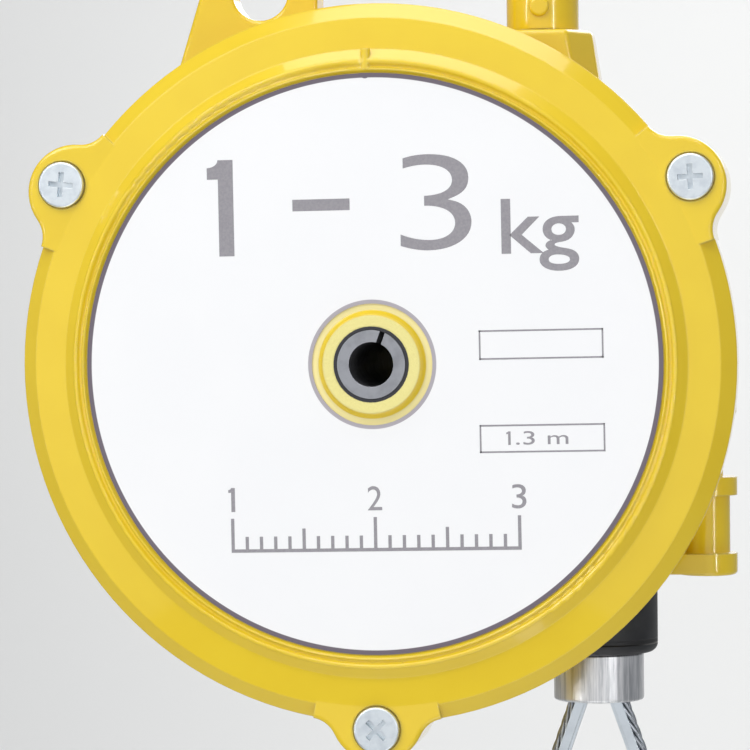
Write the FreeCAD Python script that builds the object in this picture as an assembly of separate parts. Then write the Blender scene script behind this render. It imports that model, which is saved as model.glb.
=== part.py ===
# Spring tool balancer, 1 to 3 kg class, 1.3 m rope travel.  All sizes in millimetres.
#
# Working frame: X to the right, Y towards the back, Z up.  The drum shaft is the Y axis
# and y = 0 is the joint face between the front cover and the rear housing.  Every piece
# is moved once, on export, so that the origin lies on the seat of the upper hook.

import FreeCAD, Part
import math
import os

V = FreeCAD.Vector
AXIS_X = V(1, 0, 0)
AXIS_Y = V(0, 1, 0)
AXIS_Z = V(0, 0, 1)
ORIGIN = V(0, 0, 0)

# ---------------------------------------------------------------- driving dimensions

# casing
RIM_R = 75.0             # outer radius of the joint flange and of the cover
FLANGE_REACH = 5.0       # joint flange beyond the side of the rear housing
SHELL_WALL = 3.2         # side wall of the rear housing
SHELL_DEPTH = 56.0       # joint face to the outside of the back wall
BACK_WALL = 3.5          # thickness of the back wall
BACK_EDGE_R = 5.0        # rounding of the housing's back edge
FLANGE_T = 4.0           # thickness of the joint flange
COVER_RISE = 8.0         # joint face to the seat of the rating plate
COVER_WALL = 2.6         # thickness of the cover's face
RIM_EDGE = 3.2           # height of the cover's upright edge
RIM_BEVEL = 3.2          # width of the bevel inside that edge
BEVEL_RISE = 2.6         # height of the bevel
LIP_H = 1.0              # height of the two lips around the rating plate
LIP_BAND = 5.0           # plate to the foot of the outer lip
LABEL_MARGIN = 14.8      # rim to the edge of the rating plate
LABEL_T = 0.3            # thickness of the rating plate
LABEL_HOLE_R = 12.6      # hole in the rating plate
HUB_TOP_R = 10.2         # flat top of the cover's hub
HUB_PROUD = 1.6          # hub top above the plate seat
HUB_FLARE = 1.1          # width of the hub's sloping side
HUB_WALL = 3.0           # wall of the cover's hub around its bush
COVER_RIBS = 6           # ribs inside the cover
COVER_RIB_T = 1.8
COVER_RIB_H = 1.4
PIP_R = 1.0              # casting pip across the lips at the top
PIP_X = -0.9
NICK_R = 1.1             # locating nick in the top edge of the rating plate
NICK_X = -1.0
HUB_LENGTH = 10.0        # length of the cover's hub

# three screw ears
SCREW_REACH = 1.0        # cover screws beyond the rim
EAR_INSET = 2.0          # centre of an ear inside the rim
EAR_R = 10.0             # radius of an ear
EAR_BLEND_R = 6.0        # radius of the hollow between an ear and the rim
EAR_TOP = 5.9            # height of an ear on the cover
EAR_EDGE_R = 1.0         # rounding of an ear's front edge
EAR_DEPTH = 13.0         # depth of an ear on the housing
EAR_ANGLES = (30.0, 150.0, 270.0)
SCREW_R = 2.5            # M5 cover screw
SCREW_HEAD_R = 4.8
SCREW_HEAD_H = 2.2
SCREW_LENGTH = 15.0
SCREW_SINK = 0.9         # counterbore for the head
SCREW_GAP = 0.25         # radial clearance of the screw in the cover
SCREW_HEAD_GAP = 0.3     # radial clearance of its head in the counterbore
CROSS_W = 1.1            # arm width of the cross recess
CROSS_SPAN = 5.2         # arm to arm
CROSS_DEPTH = 1.4
CROSS_TURNS = (-3.0, 5.0, 45.0)  # how far each screw is turned, in the order of the ears

# shaft and bushes
SHAFT_R = 7.1
SHAFT_BORE_R = 4.65
SHAFT_SLOT = 1.1         # slot that takes the spring's inner tab
SLOT_ANGLE = 20.0        # slot, clockwise from upright, seen from the front
BUSH_WALL = 0.7
REAR_BUSH_WALL = 2.0
RUN_FIT = 0.05           # radial clearance of every running fit
PRESS_GAP = 0.02         # radial clearance of parts that are fixed together
FACE_GAP = 0.3           # end clearance between faces that turn past each other

# rope and drum
ROPE_R = 1.5
ROPE_INSET = 31.0        # rope line inside the rim
ROPE_Y = 22.0            # depth of the rope line
DRUM_FLANGE_REACH = 4.5  # drum flange beyond the rope line
DRUM_FRONT = 7.0
DRUM_BACK = 36.0
DRUM_FLANGE_T = 2.2
DRUM_RIM_T = 2.6
DRUM_WEB_T = 3.0
DRUM_HUB_R = 12.5
ROPE_PITCH = 3.1         # pitch of the rope grooves
ROPE_TURNS = 3           # grooves and turns of rope on each side of the rope line
ROPE_GAP = 0.3           # rope to groove bottom where the rope leaves the drum

# spring case and worm drive
MODULE = 1.0             # module of the worm wheel
WHEEL_GAP = 3.8          # teeth to the side wall of the housing
WHEEL_W = 9.0            # face width of the teeth
TOOTH_SHARE = 0.42       # share of the pitch that a tooth and a thread each fill
PRESSURE_ANGLE = 20.0
CASE_GAP = 0.4           # spring case to the wall of the rope chamber
CASE_LID_T = 1.4
CASE_WALL = 3.4          # rim of the case under the teeth
CASE_BACK_T = 2.0
LID_RIVET_R = 1.0
LID_RIVET_L = 5.5
LID_RIVET_SINK = 0.7     # depth of the rivet's countersunk head
LID_RIVET_ANGLES = (45.0, 135.0, 225.0, 315.0)
WORM_R = 3.9             # pitch radius of the worm
WORM_LENGTH = 15.0
WORM_SLEEVE = 3.0        # plain end of the worm, where the pin goes through
WORM_PIN_R = 0.6
ADJUST_R = 2.0           # journal of the adjusting spindle
ADJUST_HEAD_R = 3.5      # spindle head with the hexagon socket
HEX_AF = 5.0             # across flats of the socket
HEX_DEPTH = 7.0
POCKET_WALL = 1.3        # casting around the worm
NECK_R = 3.6             # casting around the spindle below the worm
KEY_BOSS_R = 5.1         # visible boss around the spindle head
KEY_COLLAR_R = 6.7
KEY_BOSS_TOP = -26.0     # top and bottom of that boss
KEY_BOSS_BOTTOM = -47.5
COLLAR_TOP_H = 4.0
COLLAR_BOTTOM_H = 4.8
TOP_JOURNAL_H = 4.5      # blind bearing above the worm
CLIP_T = 0.8

# spring
SPRING_T = 0.7
SPRING_TURNS = 8
SPRING_SIDE_GAP = 0.5    # spring to lid and to case back
ANCHOR_R = 1.3           # pin that holds the spring's outer end

# rope exit, stop and loop
NOTCH_DRUM_GAP = 1.0549  # drum flange to the inner corner of the step over the rubber buffer
NOTCH_END_GAP = 1.9      # buffer to the side of the step
NOTCH_SIDE_GAP = 1.4     # buffer to the front and back of the step
BUFFER_R = 12.6
BUFFER_H = 16.6
BUFFER_BORE_R = 1.9
FERRULE_R = 9.6
FERRULE_H = 10.2
THIMBLE_IN_R = 7.5       # inside radius of the thimble's bend
THIMBLE_T = 1.0
THIMBLE_W = 4.0
LOOP_HALF_ANGLE = 19.5   # slope of the loop's legs
LOOP_DROP = 16.4         # ferrule to the centre of the bend
GUIDE_R = 5.0
GUIDE_BORE_R = 2.2
GUIDE_FLANGE_R = 6.6
GUIDE_FLANGE_T = 1.2

# lower hook, hanging in the plane of Y and Z
EYE_HOLE_R = 6.5
EYE_BAR_R = 3.5
EYE_OFFSET = 3.8         # centre of the eye below the middle of the loop's bar
LOWER_BOWL_R = 11.0
LOWER_BASE = 9.0
LOWER_THICK = 8.0
LOWER_SHANK = 4.8
LOWER_REACH = 36.0       # bowl centre to eye centre
LOWER_NOSE_UP = 7.0

# upper hook and swivel, in the plane of X and Z
HOOK_X = 33.0
BOSS_HALF = 10.7         # half width of the swivel boss at its top
BOSS_NOSE = 5.9          # half width of the flat on its front and back
BOSS_FLANK = 3.2         # half depth of the flats on its two sides
BOSS_FOOT_Z = 48.0       # level inside the casing that it grows from
BOSS_DEPTH = 23.0        # front to back of the swivel boss
BOSS_SLOPE = 0.16        # draft of its sides
SOCKET_R = 7.7           # barrel of the hook
SOCKET_H = 18.0          # swivel boss to the top of the barrel
STEM_R = 4.0
STEM_HEAD_R = 6.5
STEM_HEAD_H = 3.2
STEM_UP = 12.0           # stem inside the barrel
WASHER_T = 1.2
PIN_R = 1.5              # cross pin that holds the stem in the barrel
PIN_HEAD_R = 2.1
PIN_HEAD_H = 0.8
PIN_UP = 5.0             # swivel boss to the cross pin
UPPER_BOWL_R = 13.0
UPPER_BASE = 11.0
UPPER_THICK = 10.0
UPPER_SHANK = 5.6
UPPER_NOSE_UP = 8.0
SEAT_UP = 47.0           # barrel to where the upper hook rests on its support

# latches of both hooks
LATCH_T = 1.2
LATCH_GAP = 0.4          # cheek to hook
LATCH_SPRING_GAP = 1.8   # room for the spring beside the hook
LATCH_WIRE_R = 0.4
LATCH_LEG = 6.0          # spring leg that bears on the hook
RIVET_R = 1.6
RIVET_HEAD_R = 2.8
RIVET_HEAD_H = 1.0
LATCH_WEB_SHARE = 1.12   # start of the web, from the rivet, in bowl radii

# safety ear for the secondary chain
SAFETY_ANGLE = 109.0     # direction of its hole from the drum axis
SAFETY_REACH = 14.0      # its hole beyond the side of the housing
SAFETY_FOOT = 135.0      # direction in which its left edge meets the housing
SAFETY_HOLE_R = 6.0
SAFETY_R = 12.4
SAFETY_T = 10.0

# ---------------------------------------------------------------- derived values

SHELL_R = RIM_R - FLANGE_REACH
CAVITY_R = SHELL_R - SHELL_WALL
SCREW_PITCH_R = RIM_R + SCREW_REACH
EAR_PITCH_R = RIM_R - EAR_INSET
LABEL_R = RIM_R - LABEL_MARGIN
BACK_IN = SHELL_DEPTH - BACK_WALL
FACE_Y = -COVER_RISE
HUB_Y = FACE_Y - HUB_PROUD
BUSH_R = SHAFT_R + RUN_FIT + BUSH_WALL
REAR_BUSH_R = SHAFT_R + RUN_FIT + REAR_BUSH_WALL
ROPE_X = RIM_R - ROPE_INSET   # also the pitch radius of the drum
DRUM_FLANGE_R = ROPE_X + DRUM_FLANGE_REACH
NOTCH_X = ROPE_X - BUFFER_R - NOTCH_END_GAP
NOTCH_Z = -SHELL_WALL - math.sqrt((DRUM_FLANGE_R + NOTCH_DRUM_GAP) ** 2 - (NOTCH_X - SHELL_WALL) ** 2)
NOTCH_FRONT = ROPE_Y - BUFFER_R - NOTCH_SIDE_GAP
NOTCH_BACK = ROPE_Y + BUFFER_R + NOTCH_SIDE_GAP
CASE_FRONT = NOTCH_BACK + SHELL_WALL + CASE_GAP
CASE_BACK = BACK_IN - FACE_GAP
SLEEVE_FRONT = CASE_BACK - CASE_BACK_T
SLEEVE_R = REAR_BUSH_R + PRESS_GAP + 2.0
WHEEL_TEETH = 2 * (round((CAVITY_R - WHEEL_GAP) / MODULE) - 1)
WHEEL_R = MODULE * WHEEL_TEETH / 2
WHEEL_BACK = CASE_BACK - 1.0
WHEEL_FRONT = WHEEL_BACK - WHEEL_W
WORM_Y = (WHEEL_FRONT + WHEEL_BACK) / 2
WORM_X = WHEEL_R + WORM_R
WORM_TIP_R = WORM_R + MODULE
WORM_ROOT_R = WORM_R - 1.25 * MODULE
WORM_SLEEVE_R = WORM_ROOT_R + 0.3
WORM_PITCH = math.pi * MODULE
WHEEL_ROOT_R = WHEEL_R - 1.25 * MODULE
CASE_IN_R = WHEEL_ROOT_R - CASE_WALL
SPRING_EYE_R = ANCHOR_R + RUN_FIT + SPRING_T
POCKET_R = WORM_TIP_R + 0.4
POCKET_TOP = WORM_LENGTH / 2 + FACE_GAP
POCKET_BOTTOM = -WORM_LENGTH / 2 - WORM_SLEEVE - FACE_GAP
DRUM_ROOT_R = ROPE_X - ROPE_R - ROPE_GAP
BUFFER_TOP = NOTCH_Z - FACE_GAP
BUFFER_BOTTOM = BUFFER_TOP - BUFFER_H
FERRULE_BOTTOM = BUFFER_BOTTOM - FERRULE_H
BEND_Z = FERRULE_BOTTOM - LOOP_DROP
LOOP_R = THIMBLE_IN_R + THIMBLE_T + ROPE_R
BAR_Z = BEND_Z - THIMBLE_IN_R - (THIMBLE_T + 2 * ROPE_R) / 2
EYE_Z = BAR_Z - EYE_OFFSET
LOWER_BOWL_Z = EYE_Z - LOWER_REACH
BOSS_Z = SHELL_R         # the swivel boss ends level with the crown of the housing
PIN_Z = BOSS_Z + PIN_UP
SOCKET_TOP = BOSS_Z + SOCKET_H
SEAT_Z = SOCKET_TOP + SEAT_UP
UPPER_BOWL_Z = SEAT_Z - UPPER_BOWL_R


# ---------------------------------------------------------------- shared operations

def rod(radius, start, direction, length):
    return Part.makeCylinder(radius, length, start, direction)


def tube(outer, inner, start, direction, length):
    return rod(outer, start, direction, length).cut(rod(inner, start, direction, length))


def disc(outer, y_front, y_back):
    """Solid disc on the drum axis."""
    return rod(outer, V(0, y_front, 0), AXIS_Y, y_back - y_front)


def washer(outer, inner, y_front, y_back):
    return disc(outer, y_front, y_back).cut(disc(inner, y_front, y_back))


def block(x_low, x_high, y_low, y_high, z_low, z_high):
    return Part.makeBox(x_high - x_low, y_high - y_low, z_high - z_low, V(x_low, y_low, z_low))


def line(start, end):
    return Part.LineSegment(start, end).toShape()


def arc(start, middle, end):
    return Part.Arc(start, middle, end).toShape()


def polar(centre, radius, degrees):
    """Point in the XZ plane at an angle from +X towards +Z."""
    angle = math.radians(degrees)
    return centre + V(radius * math.cos(angle), 0, radius * math.sin(angle))


def arc_between(centre, radius, first, last):
    """Arc in the XZ plane from one angle to another."""
    points = [polar(centre, radius, first + (last - first) * share) for share in (0, 0.5, 1)]
    return arc(*points)


def angle_of(centre, point):
    return math.degrees(math.atan2(point.z - centre.z, point.x - centre.x))


def slab(edges, y_front, y_back):
    """Solid of a closed outline in the XZ plane, from one depth to another."""
    face = Part.Face(Part.Wire(edges))
    face.translate(V(0, y_front, 0))
    return face.extrude(V(0, y_back - y_front, 0))


def polygon(points):
    return [line(points[i], points[(i + 1) % len(points)]) for i in range(len(points))]


def turned(edges):
    """Solid of revolution about the Y axis of an outline in the XY plane."""
    return Part.Face(Part.Wire(edges)).revolve(ORIGIN, AXIS_Y, 360)


def spun(shape, centre, axis, degrees):
    copy = shape.copy()
    copy.rotate(centre, axis, degrees)
    return copy


def rounded(shape, radius, chosen):
    """Rounds the edges that the test picks."""
    edges = [edge for edge in shape.Edges if chosen(edge)]
    return shape.makeFillet(radius, edges)


# ---------------------------------------------------------------- casing

def ear_outline(degrees):
    """A screw ear with hollows that run tangentially into the rim."""
    centre = polar(ORIGIN, EAR_PITCH_R, degrees)
    near = RIM_R + EAR_BLEND_R
    far = EAR_R + EAR_BLEND_R
    cosine = (near ** 2 + EAR_PITCH_R ** 2 - far ** 2) / (2 * near * EAR_PITCH_R)
    offset = math.degrees(math.acos(cosine))
    edges = []
    sides = []
    for sign in (-1, 1):
        hollow = polar(ORIGIN, near, degrees + sign * offset)
        on_rim = polar(ORIGIN, RIM_R, degrees + sign * offset)
        on_ear = hollow + (centre - hollow).normalize() * EAR_BLEND_R
        middle = hollow + ((on_rim + on_ear) * 0.5 - hollow).normalize() * EAR_BLEND_R
        edges.append(arc(on_rim, middle, on_ear))
        sides.append((on_rim, on_ear))
    edges.append(arc(sides[0][1], polar(ORIGIN, EAR_PITCH_R + EAR_R, degrees), sides[1][1]))
    inner = [polar(ORIGIN, CAVITY_R + 1.0, degrees + sign * offset) for sign in (-1, 1)]
    edges.append(line(sides[0][0], inner[0]))
    edges.append(line(inner[0], inner[1]))
    edges.append(line(inner[1], sides[1][0]))
    return Part.__sortEdges__(edges)


def rear_housing():
    body = disc(SHELL_R, 0, SHELL_DEPTH)
    body = rounded(body, BACK_EDGE_R, lambda e: abs(e.BoundBox.YMin - SHELL_DEPTH) < 0.01
                   and e.BoundBox.YLength < 0.01)
    body = body.fuse([disc(RIM_R, 0, FLANGE_T)])
    body = body.fuse([slab(ear_outline(angle), 0, EAR_DEPTH) for angle in EAR_ANGLES])
    body = body.fuse([hook_boss(), safety_ear(), adjuster_boss(), back_ribs()])
    clear_step = block(NOTCH_X, RIM_R, NOTCH_FRONT, NOTCH_BACK, -RIM_R, NOTCH_Z)
    body = body.cut(clear_step)

    walls = block(NOTCH_X - SHELL_WALL, RIM_R, NOTCH_FRONT - SHELL_WALL,
                  NOTCH_BACK + SHELL_WALL, -RIM_R, NOTCH_Z + SHELL_WALL)
    cavity = disc(CAVITY_R, -1, BACK_IN).cut(walls)
    cavity = cavity.cut(disc(SLEEVE_R, SLEEVE_FRONT, SHELL_DEPTH))
    body = body.cut(cavity)
    body = body.cut(disc(REAR_BUSH_R + PRESS_GAP, BACK_IN - 4.0, SHELL_DEPTH - 0.6))

    for angle in EAR_ANGLES:
        hole_start = polar(ORIGIN, SCREW_PITCH_R, angle) + V(0, -1, 0)
        body = body.cut(rod(SCREW_R + PRESS_GAP, hole_start, AXIS_Y, EAR_DEPTH - 1.0))
    body = body.cut(adjuster_hollow())
    body = body.cut(rod(GUIDE_R + PRESS_GAP, V(ROPE_X, ROPE_Y, NOTCH_Z - 1), AXIS_Z, SHELL_WALL + 2))
    body = body.cut(rod(STEM_R + RUN_FIT, V(HOOK_X, ROPE_Y, 0), AXIS_Z, BOSS_Z + 1))
    head_room = V(HOOK_X, ROPE_Y, stem_seat() - 12)
    body = body.cut(rod(STEM_HEAD_R + 1.0, head_room, AXIS_Z, 12))
    return body.removeSplitter()


def stem_seat():
    """Height of the flat inside the swivel boss that the stem's washer bears on."""
    return math.sqrt(CAVITY_R ** 2 - HOOK_X ** 2) + 0.5


def boss_plan(z):
    """Outline of the swivel boss at one level; it spreads towards its foot."""
    spread = (BOSS_Z - z) * BOSS_SLOPE
    nose = BOSS_NOSE + spread
    half = BOSS_HALF + spread
    depth = BOSS_DEPTH / 2
    corners = [(nose, -depth), (half, -BOSS_FLANK), (half, BOSS_FLANK), (nose, depth),
               (-nose, depth), (-half, BOSS_FLANK), (-half, -BOSS_FLANK), (-nose, -depth)]
    return Part.Wire(polygon([V(HOOK_X + x, ROPE_Y + y, z) for x, y in corners]))


def hook_boss():
    """Cast eight-sided block that carries the swivel, with drafted sides."""
    boss = Part.makeLoft([boss_plan(BOSS_FOOT_Z), boss_plan(BOSS_Z)], True, True)
    boss = rounded(boss, 1.3, lambda e: e.BoundBox.ZMax > BOSS_Z - 0.01)
    return boss.cut(disc(CAVITY_R + 0.5, 0, SHELL_DEPTH))


def safety_ear():
    """Cast plate with the hole for the safety chain; its left edge runs out on the shell."""
    centre = polar(ORIGIN, SHELL_R + SAFETY_REACH, SAFETY_ANGLE)
    left_foot = polar(ORIGIN, SHELL_R, SAFETY_FOOT)
    right_x = centre.x + SAFETY_R
    to_foot = left_foot - centre
    reach = math.hypot(to_foot.x, to_foot.z)
    direction = angle_of(centre, left_foot)
    left_touch = polar(centre, SAFETY_R, direction - math.degrees(math.acos(SAFETY_R / reach)))
    right_foot = V(right_x, 0, math.sqrt(SHELL_R ** 2 - right_x ** 2) - 2)
    inner_left = polar(ORIGIN, SHELL_R - 2, SAFETY_FOOT)
    edges = [line(inner_left, left_foot), line(left_foot, left_touch),
             arc(left_touch, polar(centre, SAFETY_R, 90), polar(centre, SAFETY_R, 0)),
             line(polar(centre, SAFETY_R, 0), right_foot), line(right_foot, inner_left)]
    middle = ROPE_Y
    plate = slab(edges, middle - SAFETY_T / 2, middle + SAFETY_T / 2)
    hole = rod(SAFETY_HOLE_R, centre + V(0, middle - SAFETY_T / 2 - 1, 0), AXIS_Y, SAFETY_T + 2)
    plate = plate.cut(hole)
    rim = lambda e: e.BoundBox.YLength < 0.01 and isinstance(e.Curve, Part.Circle)
    plate = rounded(plate, 1.0, rim)
    return plate.cut(disc(CAVITY_R + 0.5, 0, SHELL_DEPTH))


def adjuster_boss():
    """Casting around the worm and its spindle: pocket, neck, and the boss with two collars."""
    axis_at = lambda z: V(WORM_X, WORM_Y, z)
    outer = POCKET_R + POCKET_WALL
    pocket_top = POCKET_TOP + TOP_JOURNAL_H + 1.2
    pocket = rod(outer, axis_at(POCKET_BOTTOM - 1), AXIS_Z, POCKET_TOP - POCKET_BOTTOM + 2)
    cap = Part.makeCone(outer, NECK_R, pocket_top - POCKET_TOP - 1, axis_at(POCKET_TOP + 1), AXIS_Z)
    neck_cone = Part.makeCone(NECK_R + 0.4, outer, 6.0, axis_at(POCKET_BOTTOM - 7), AXIS_Z)
    neck = rod(NECK_R, axis_at(KEY_BOSS_TOP), AXIS_Z, POCKET_BOTTOM - 6 - KEY_BOSS_TOP)
    barrel = rod(KEY_BOSS_R, axis_at(KEY_BOSS_BOTTOM), AXIS_Z, KEY_BOSS_TOP - KEY_BOSS_BOTTOM)
    top = rod(KEY_COLLAR_R, axis_at(KEY_BOSS_TOP - COLLAR_TOP_H), AXIS_Z, COLLAR_TOP_H)
    bottom = rod(KEY_COLLAR_R, axis_at(KEY_BOSS_BOTTOM), AXIS_Z, COLLAR_BOTTOM_H)
    bottom = rounded(bottom, 1.0, lambda e: abs(e.BoundBox.ZMax - KEY_BOSS_BOTTOM) < 0.01
                     and e.BoundBox.ZLength < 0.01)
    shelf_in = math.sqrt(SHELL_R ** 2 - KEY_BOSS_BOTTOM ** 2) - 4
    shelf = block(shelf_in, WORM_X, WORM_Y - KEY_COLLAR_R, WORM_Y + KEY_COLLAR_R,
                  KEY_BOSS_BOTTOM + 0.4, KEY_BOSS_BOTTOM + COLLAR_BOTTOM_H)
    top_shelf = block(shelf_in, WORM_X, WORM_Y - KEY_BOSS_R, WORM_Y + KEY_BOSS_R,
                      KEY_BOSS_TOP - COLLAR_TOP_H, KEY_BOSS_TOP)
    web = block(shelf_in, WORM_X, WORM_Y - 2.5, WORM_Y + 2.5, KEY_BOSS_BOTTOM + 1, KEY_BOSS_TOP - 1)
    saddle = block(WORM_X - 6, WORM_X, WORM_Y - outer, WORM_Y + outer,
                   POCKET_BOTTOM - 1, POCKET_TOP + 1)
    whole = pocket.fuse([cap, neck_cone, neck, barrel, top, bottom, shelf, top_shelf, web, saddle])
    return whole.cut(disc(CAVITY_R + 0.5, 0, SHELL_DEPTH))


def adjuster_hollow():
    """Room for the worm, its journals and the socket head."""
    axis_at = lambda z: V(WORM_X, WORM_Y, z)
    pocket = rod(POCKET_R, axis_at(POCKET_BOTTOM), AXIS_Z, POCKET_TOP - POCKET_BOTTOM)
    mouth = block(WHEEL_R - 8, WORM_X, WORM_Y - POCKET_R, WORM_Y + POCKET_R,
                  POCKET_BOTTOM, POCKET_TOP)
    journal = rod(ADJUST_R + RUN_FIT, axis_at(KEY_BOSS_TOP - 3), AXIS_Z,
                  POCKET_TOP + TOP_JOURNAL_H - KEY_BOSS_TOP + 3)
    head = rod(ADJUST_HEAD_R + RUN_FIT, axis_at(KEY_BOSS_BOTTOM - 1), AXIS_Z,
               KEY_BOSS_TOP - COLLAR_TOP_H / 2 - KEY_BOSS_BOTTOM + 1)
    groove = rod(ADJUST_HEAD_R + 0.7, axis_at(clip_z()), AXIS_Z, CLIP_T)
    return pocket.fuse([mouth, journal, head, groove])


def clip_z():
    return KEY_BOSS_BOTTOM + 1.2


def back_ribs():
    """Raised bearing pad and six low ribs on the back wall."""
    pad = disc(REAR_BUSH_R + 7.0, SHELL_DEPTH - 1, SHELL_DEPTH + 1.5)
    ribs = []
    for step in range(6):
        rib = block(REAR_BUSH_R + 5.0, SHELL_R - BACK_EDGE_R - 3.0, SHELL_DEPTH - 1,
                    SHELL_DEPTH + 1.0, -1.5, 1.5)
        ribs.append(spun(rib, ORIGIN, AXIS_Y, 30 + 60 * step))
    return pad.fuse(ribs)


def front_cover():
    lip_y = FACE_Y - LIP_H
    groove_y = FACE_Y - 0.3
    band_y = -(RIM_EDGE + BEVEL_RISE + 1.1)
    hub_foot_r = HUB_TOP_R + HUB_FLARE
    hub_back = HUB_Y + HUB_LENGTH
    inside_y = FACE_Y + COVER_WALL
    bore = BUSH_R + PRESS_GAP
    P = lambda r, y: V(r, y, 0)
    lip = lambda out, y: V(LABEL_R + out, y, 0)
    edges = [
        line(P(RIM_R, 0), P(RIM_R, -RIM_EDGE + 0.4)),
        line(P(RIM_R, -RIM_EDGE + 0.4), P(RIM_R - 0.4, -RIM_EDGE)),
        line(P(RIM_R - 0.4, -RIM_EDGE), P(RIM_R - RIM_BEVEL, -RIM_EDGE - BEVEL_RISE)),
        line(P(RIM_R - RIM_BEVEL, -RIM_EDGE - BEVEL_RISE), lip(LIP_BAND, band_y)),
        line(lip(LIP_BAND, band_y), lip(3.0, lip_y + 0.4)),
        arc(lip(3.0, lip_y + 0.4), lip(2.5, lip_y), lip(1.9, lip_y + 0.4)),
        arc(lip(1.9, lip_y + 0.4), lip(1.5, groove_y), lip(1.1, lip_y + 0.4)),
        arc(lip(1.1, lip_y + 0.4), lip(0.85, lip_y + 0.1), lip(0.6, lip_y + 0.4)),
        line(lip(0.6, lip_y + 0.4), lip(0.2, FACE_Y)),
        line(lip(0.2, FACE_Y), P(hub_foot_r, FACE_Y)),
        line(P(hub_foot_r, FACE_Y), P(HUB_TOP_R, HUB_Y)),
        line(P(HUB_TOP_R, HUB_Y), P(bore, HUB_Y)),
        line(P(bore, HUB_Y), P(bore, hub_back)),
        line(P(bore, hub_back), P(bore + HUB_WALL, hub_back)),
        line(P(bore + HUB_WALL, hub_back), P(bore + HUB_WALL + 1.0, inside_y)),
        line(P(bore + HUB_WALL + 1.0, inside_y), P(CAVITY_R - 5.0, inside_y)),
        arc(P(CAVITY_R - 5.0, inside_y), P(CAVITY_R - 1.4, inside_y + 1.3), P(CAVITY_R, inside_y + 4.0)),
        line(P(CAVITY_R, inside_y + 4.0), P(CAVITY_R, 0)),
        line(P(CAVITY_R, 0), P(RIM_R, 0))]
    cover = turned(edges)
    front_edge = lambda e: abs(e.BoundBox.YMax + EAR_TOP) < 0.01 and isinstance(e.Curve, Part.Circle)
    ears = [rounded(slab(ear_outline(angle), -EAR_TOP, 0), EAR_EDGE_R, front_edge) for angle in EAR_ANGLES]
    cover = cover.fuse(ears)
    pip = rod(PIP_R, V(PIP_X, FACE_Y, LABEL_R + 0.8), AXIS_Z, LIP_BAND - 0.8)
    cover = cover.fuse([pip])
    for angle in EAR_ANGLES:
        foot = polar(ORIGIN, SCREW_PITCH_R, angle)
        cover = cover.cut(rod(SCREW_R + SCREW_GAP, foot + V(0, 1, 0), -AXIS_Y, EAR_TOP + 4))
        seat = foot + V(0, -EAR_TOP + SCREW_SINK, 0)
        cover = cover.cut(rod(SCREW_HEAD_R + SCREW_HEAD_GAP, seat, -AXIS_Y, 6))
    for step in range(COVER_RIBS):
        rib = block(bore + HUB_WALL + 0.5, CAVITY_R - 3.0, inside_y - 0.5, inside_y + COVER_RIB_H,
                    -COVER_RIB_T / 2, COVER_RIB_T / 2)
        cover = cover.fuse([spun(rib, ORIGIN, AXIS_Y, step * 360 / COVER_RIBS)])
    return cover.removeSplitter()


def rating_label():
    """Thin plate with a locating nick at the top."""
    label = washer(LABEL_R, LABEL_HOLE_R, FACE_Y - LABEL_T, FACE_Y)
    nick = rod(NICK_R, V(NICK_X, FACE_Y - 1, LABEL_R), AXIS_Y, 2)
    return label.cut(nick)


def cover_screws():
    screws = []
    for angle, turn in zip(EAR_ANGLES, CROSS_TURNS):
        seat = polar(ORIGIN, SCREW_PITCH_R, angle) + V(0, -EAR_TOP + SCREW_SINK, 0)
        head = rod(SCREW_HEAD_R, seat, -AXIS_Y, SCREW_HEAD_H)
        front = seat.y - SCREW_HEAD_H
        head = rounded(head, 0.5, lambda e: abs(e.BoundBox.YMin - front) < 0.01
                       and e.BoundBox.YLength < 0.01)
        recess = cross_recess(seat.x, front, seat.z, turn)
        shank = rod(SCREW_R, seat, AXIS_Y, SCREW_LENGTH)
        screws.append(head.cut(recess).fuse([shank]))
    return Part.makeCompound(screws)


def cross_recess(x, front, z, degrees):
    half = CROSS_SPAN / 2
    bar = block(x - half, x + half, front - 0.1, front + CROSS_DEPTH, z - CROSS_W / 2, z + CROSS_W / 2)
    centre = V(x, front, z)
    cross = bar.fuse([spun(bar, centre, AXIS_Y, 90)])
    return spun(cross, centre, AXIS_Y, degrees)


# ---------------------------------------------------------------- shaft, drum and rope

def main_shaft():
    """Slotted hollow shaft; the slot takes the inner tab of the spring."""
    end = SHELL_DEPTH - 1.0
    shaft = washer(SHAFT_R, SHAFT_BORE_R, HUB_Y - 0.2, end)
    slot = block(-SHAFT_SLOT / 2, SHAFT_SLOT / 2, HUB_Y - 1, end - 2.5, SHAFT_BORE_R - 1, SHAFT_R + 1)
    return shaft.cut(spun(slot, ORIGIN, AXIS_Y, SLOT_ANGLE))


def front_bush():
    return washer(BUSH_R, SHAFT_R + RUN_FIT, HUB_Y, HUB_Y + HUB_LENGTH)


def rear_bush():
    return washer(REAR_BUSH_R, SHAFT_R + RUN_FIT, SLEEVE_FRONT, SHELL_DEPTH - 0.6)


def groove_borders(side):
    """Depths of the borders between the rope grooves, going one way from the rope line."""
    near = ROPE_R + FACE_GAP
    return [ROPE_Y + side * (near + count * ROPE_PITCH) for count in range(ROPE_TURNS + 1)]


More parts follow.
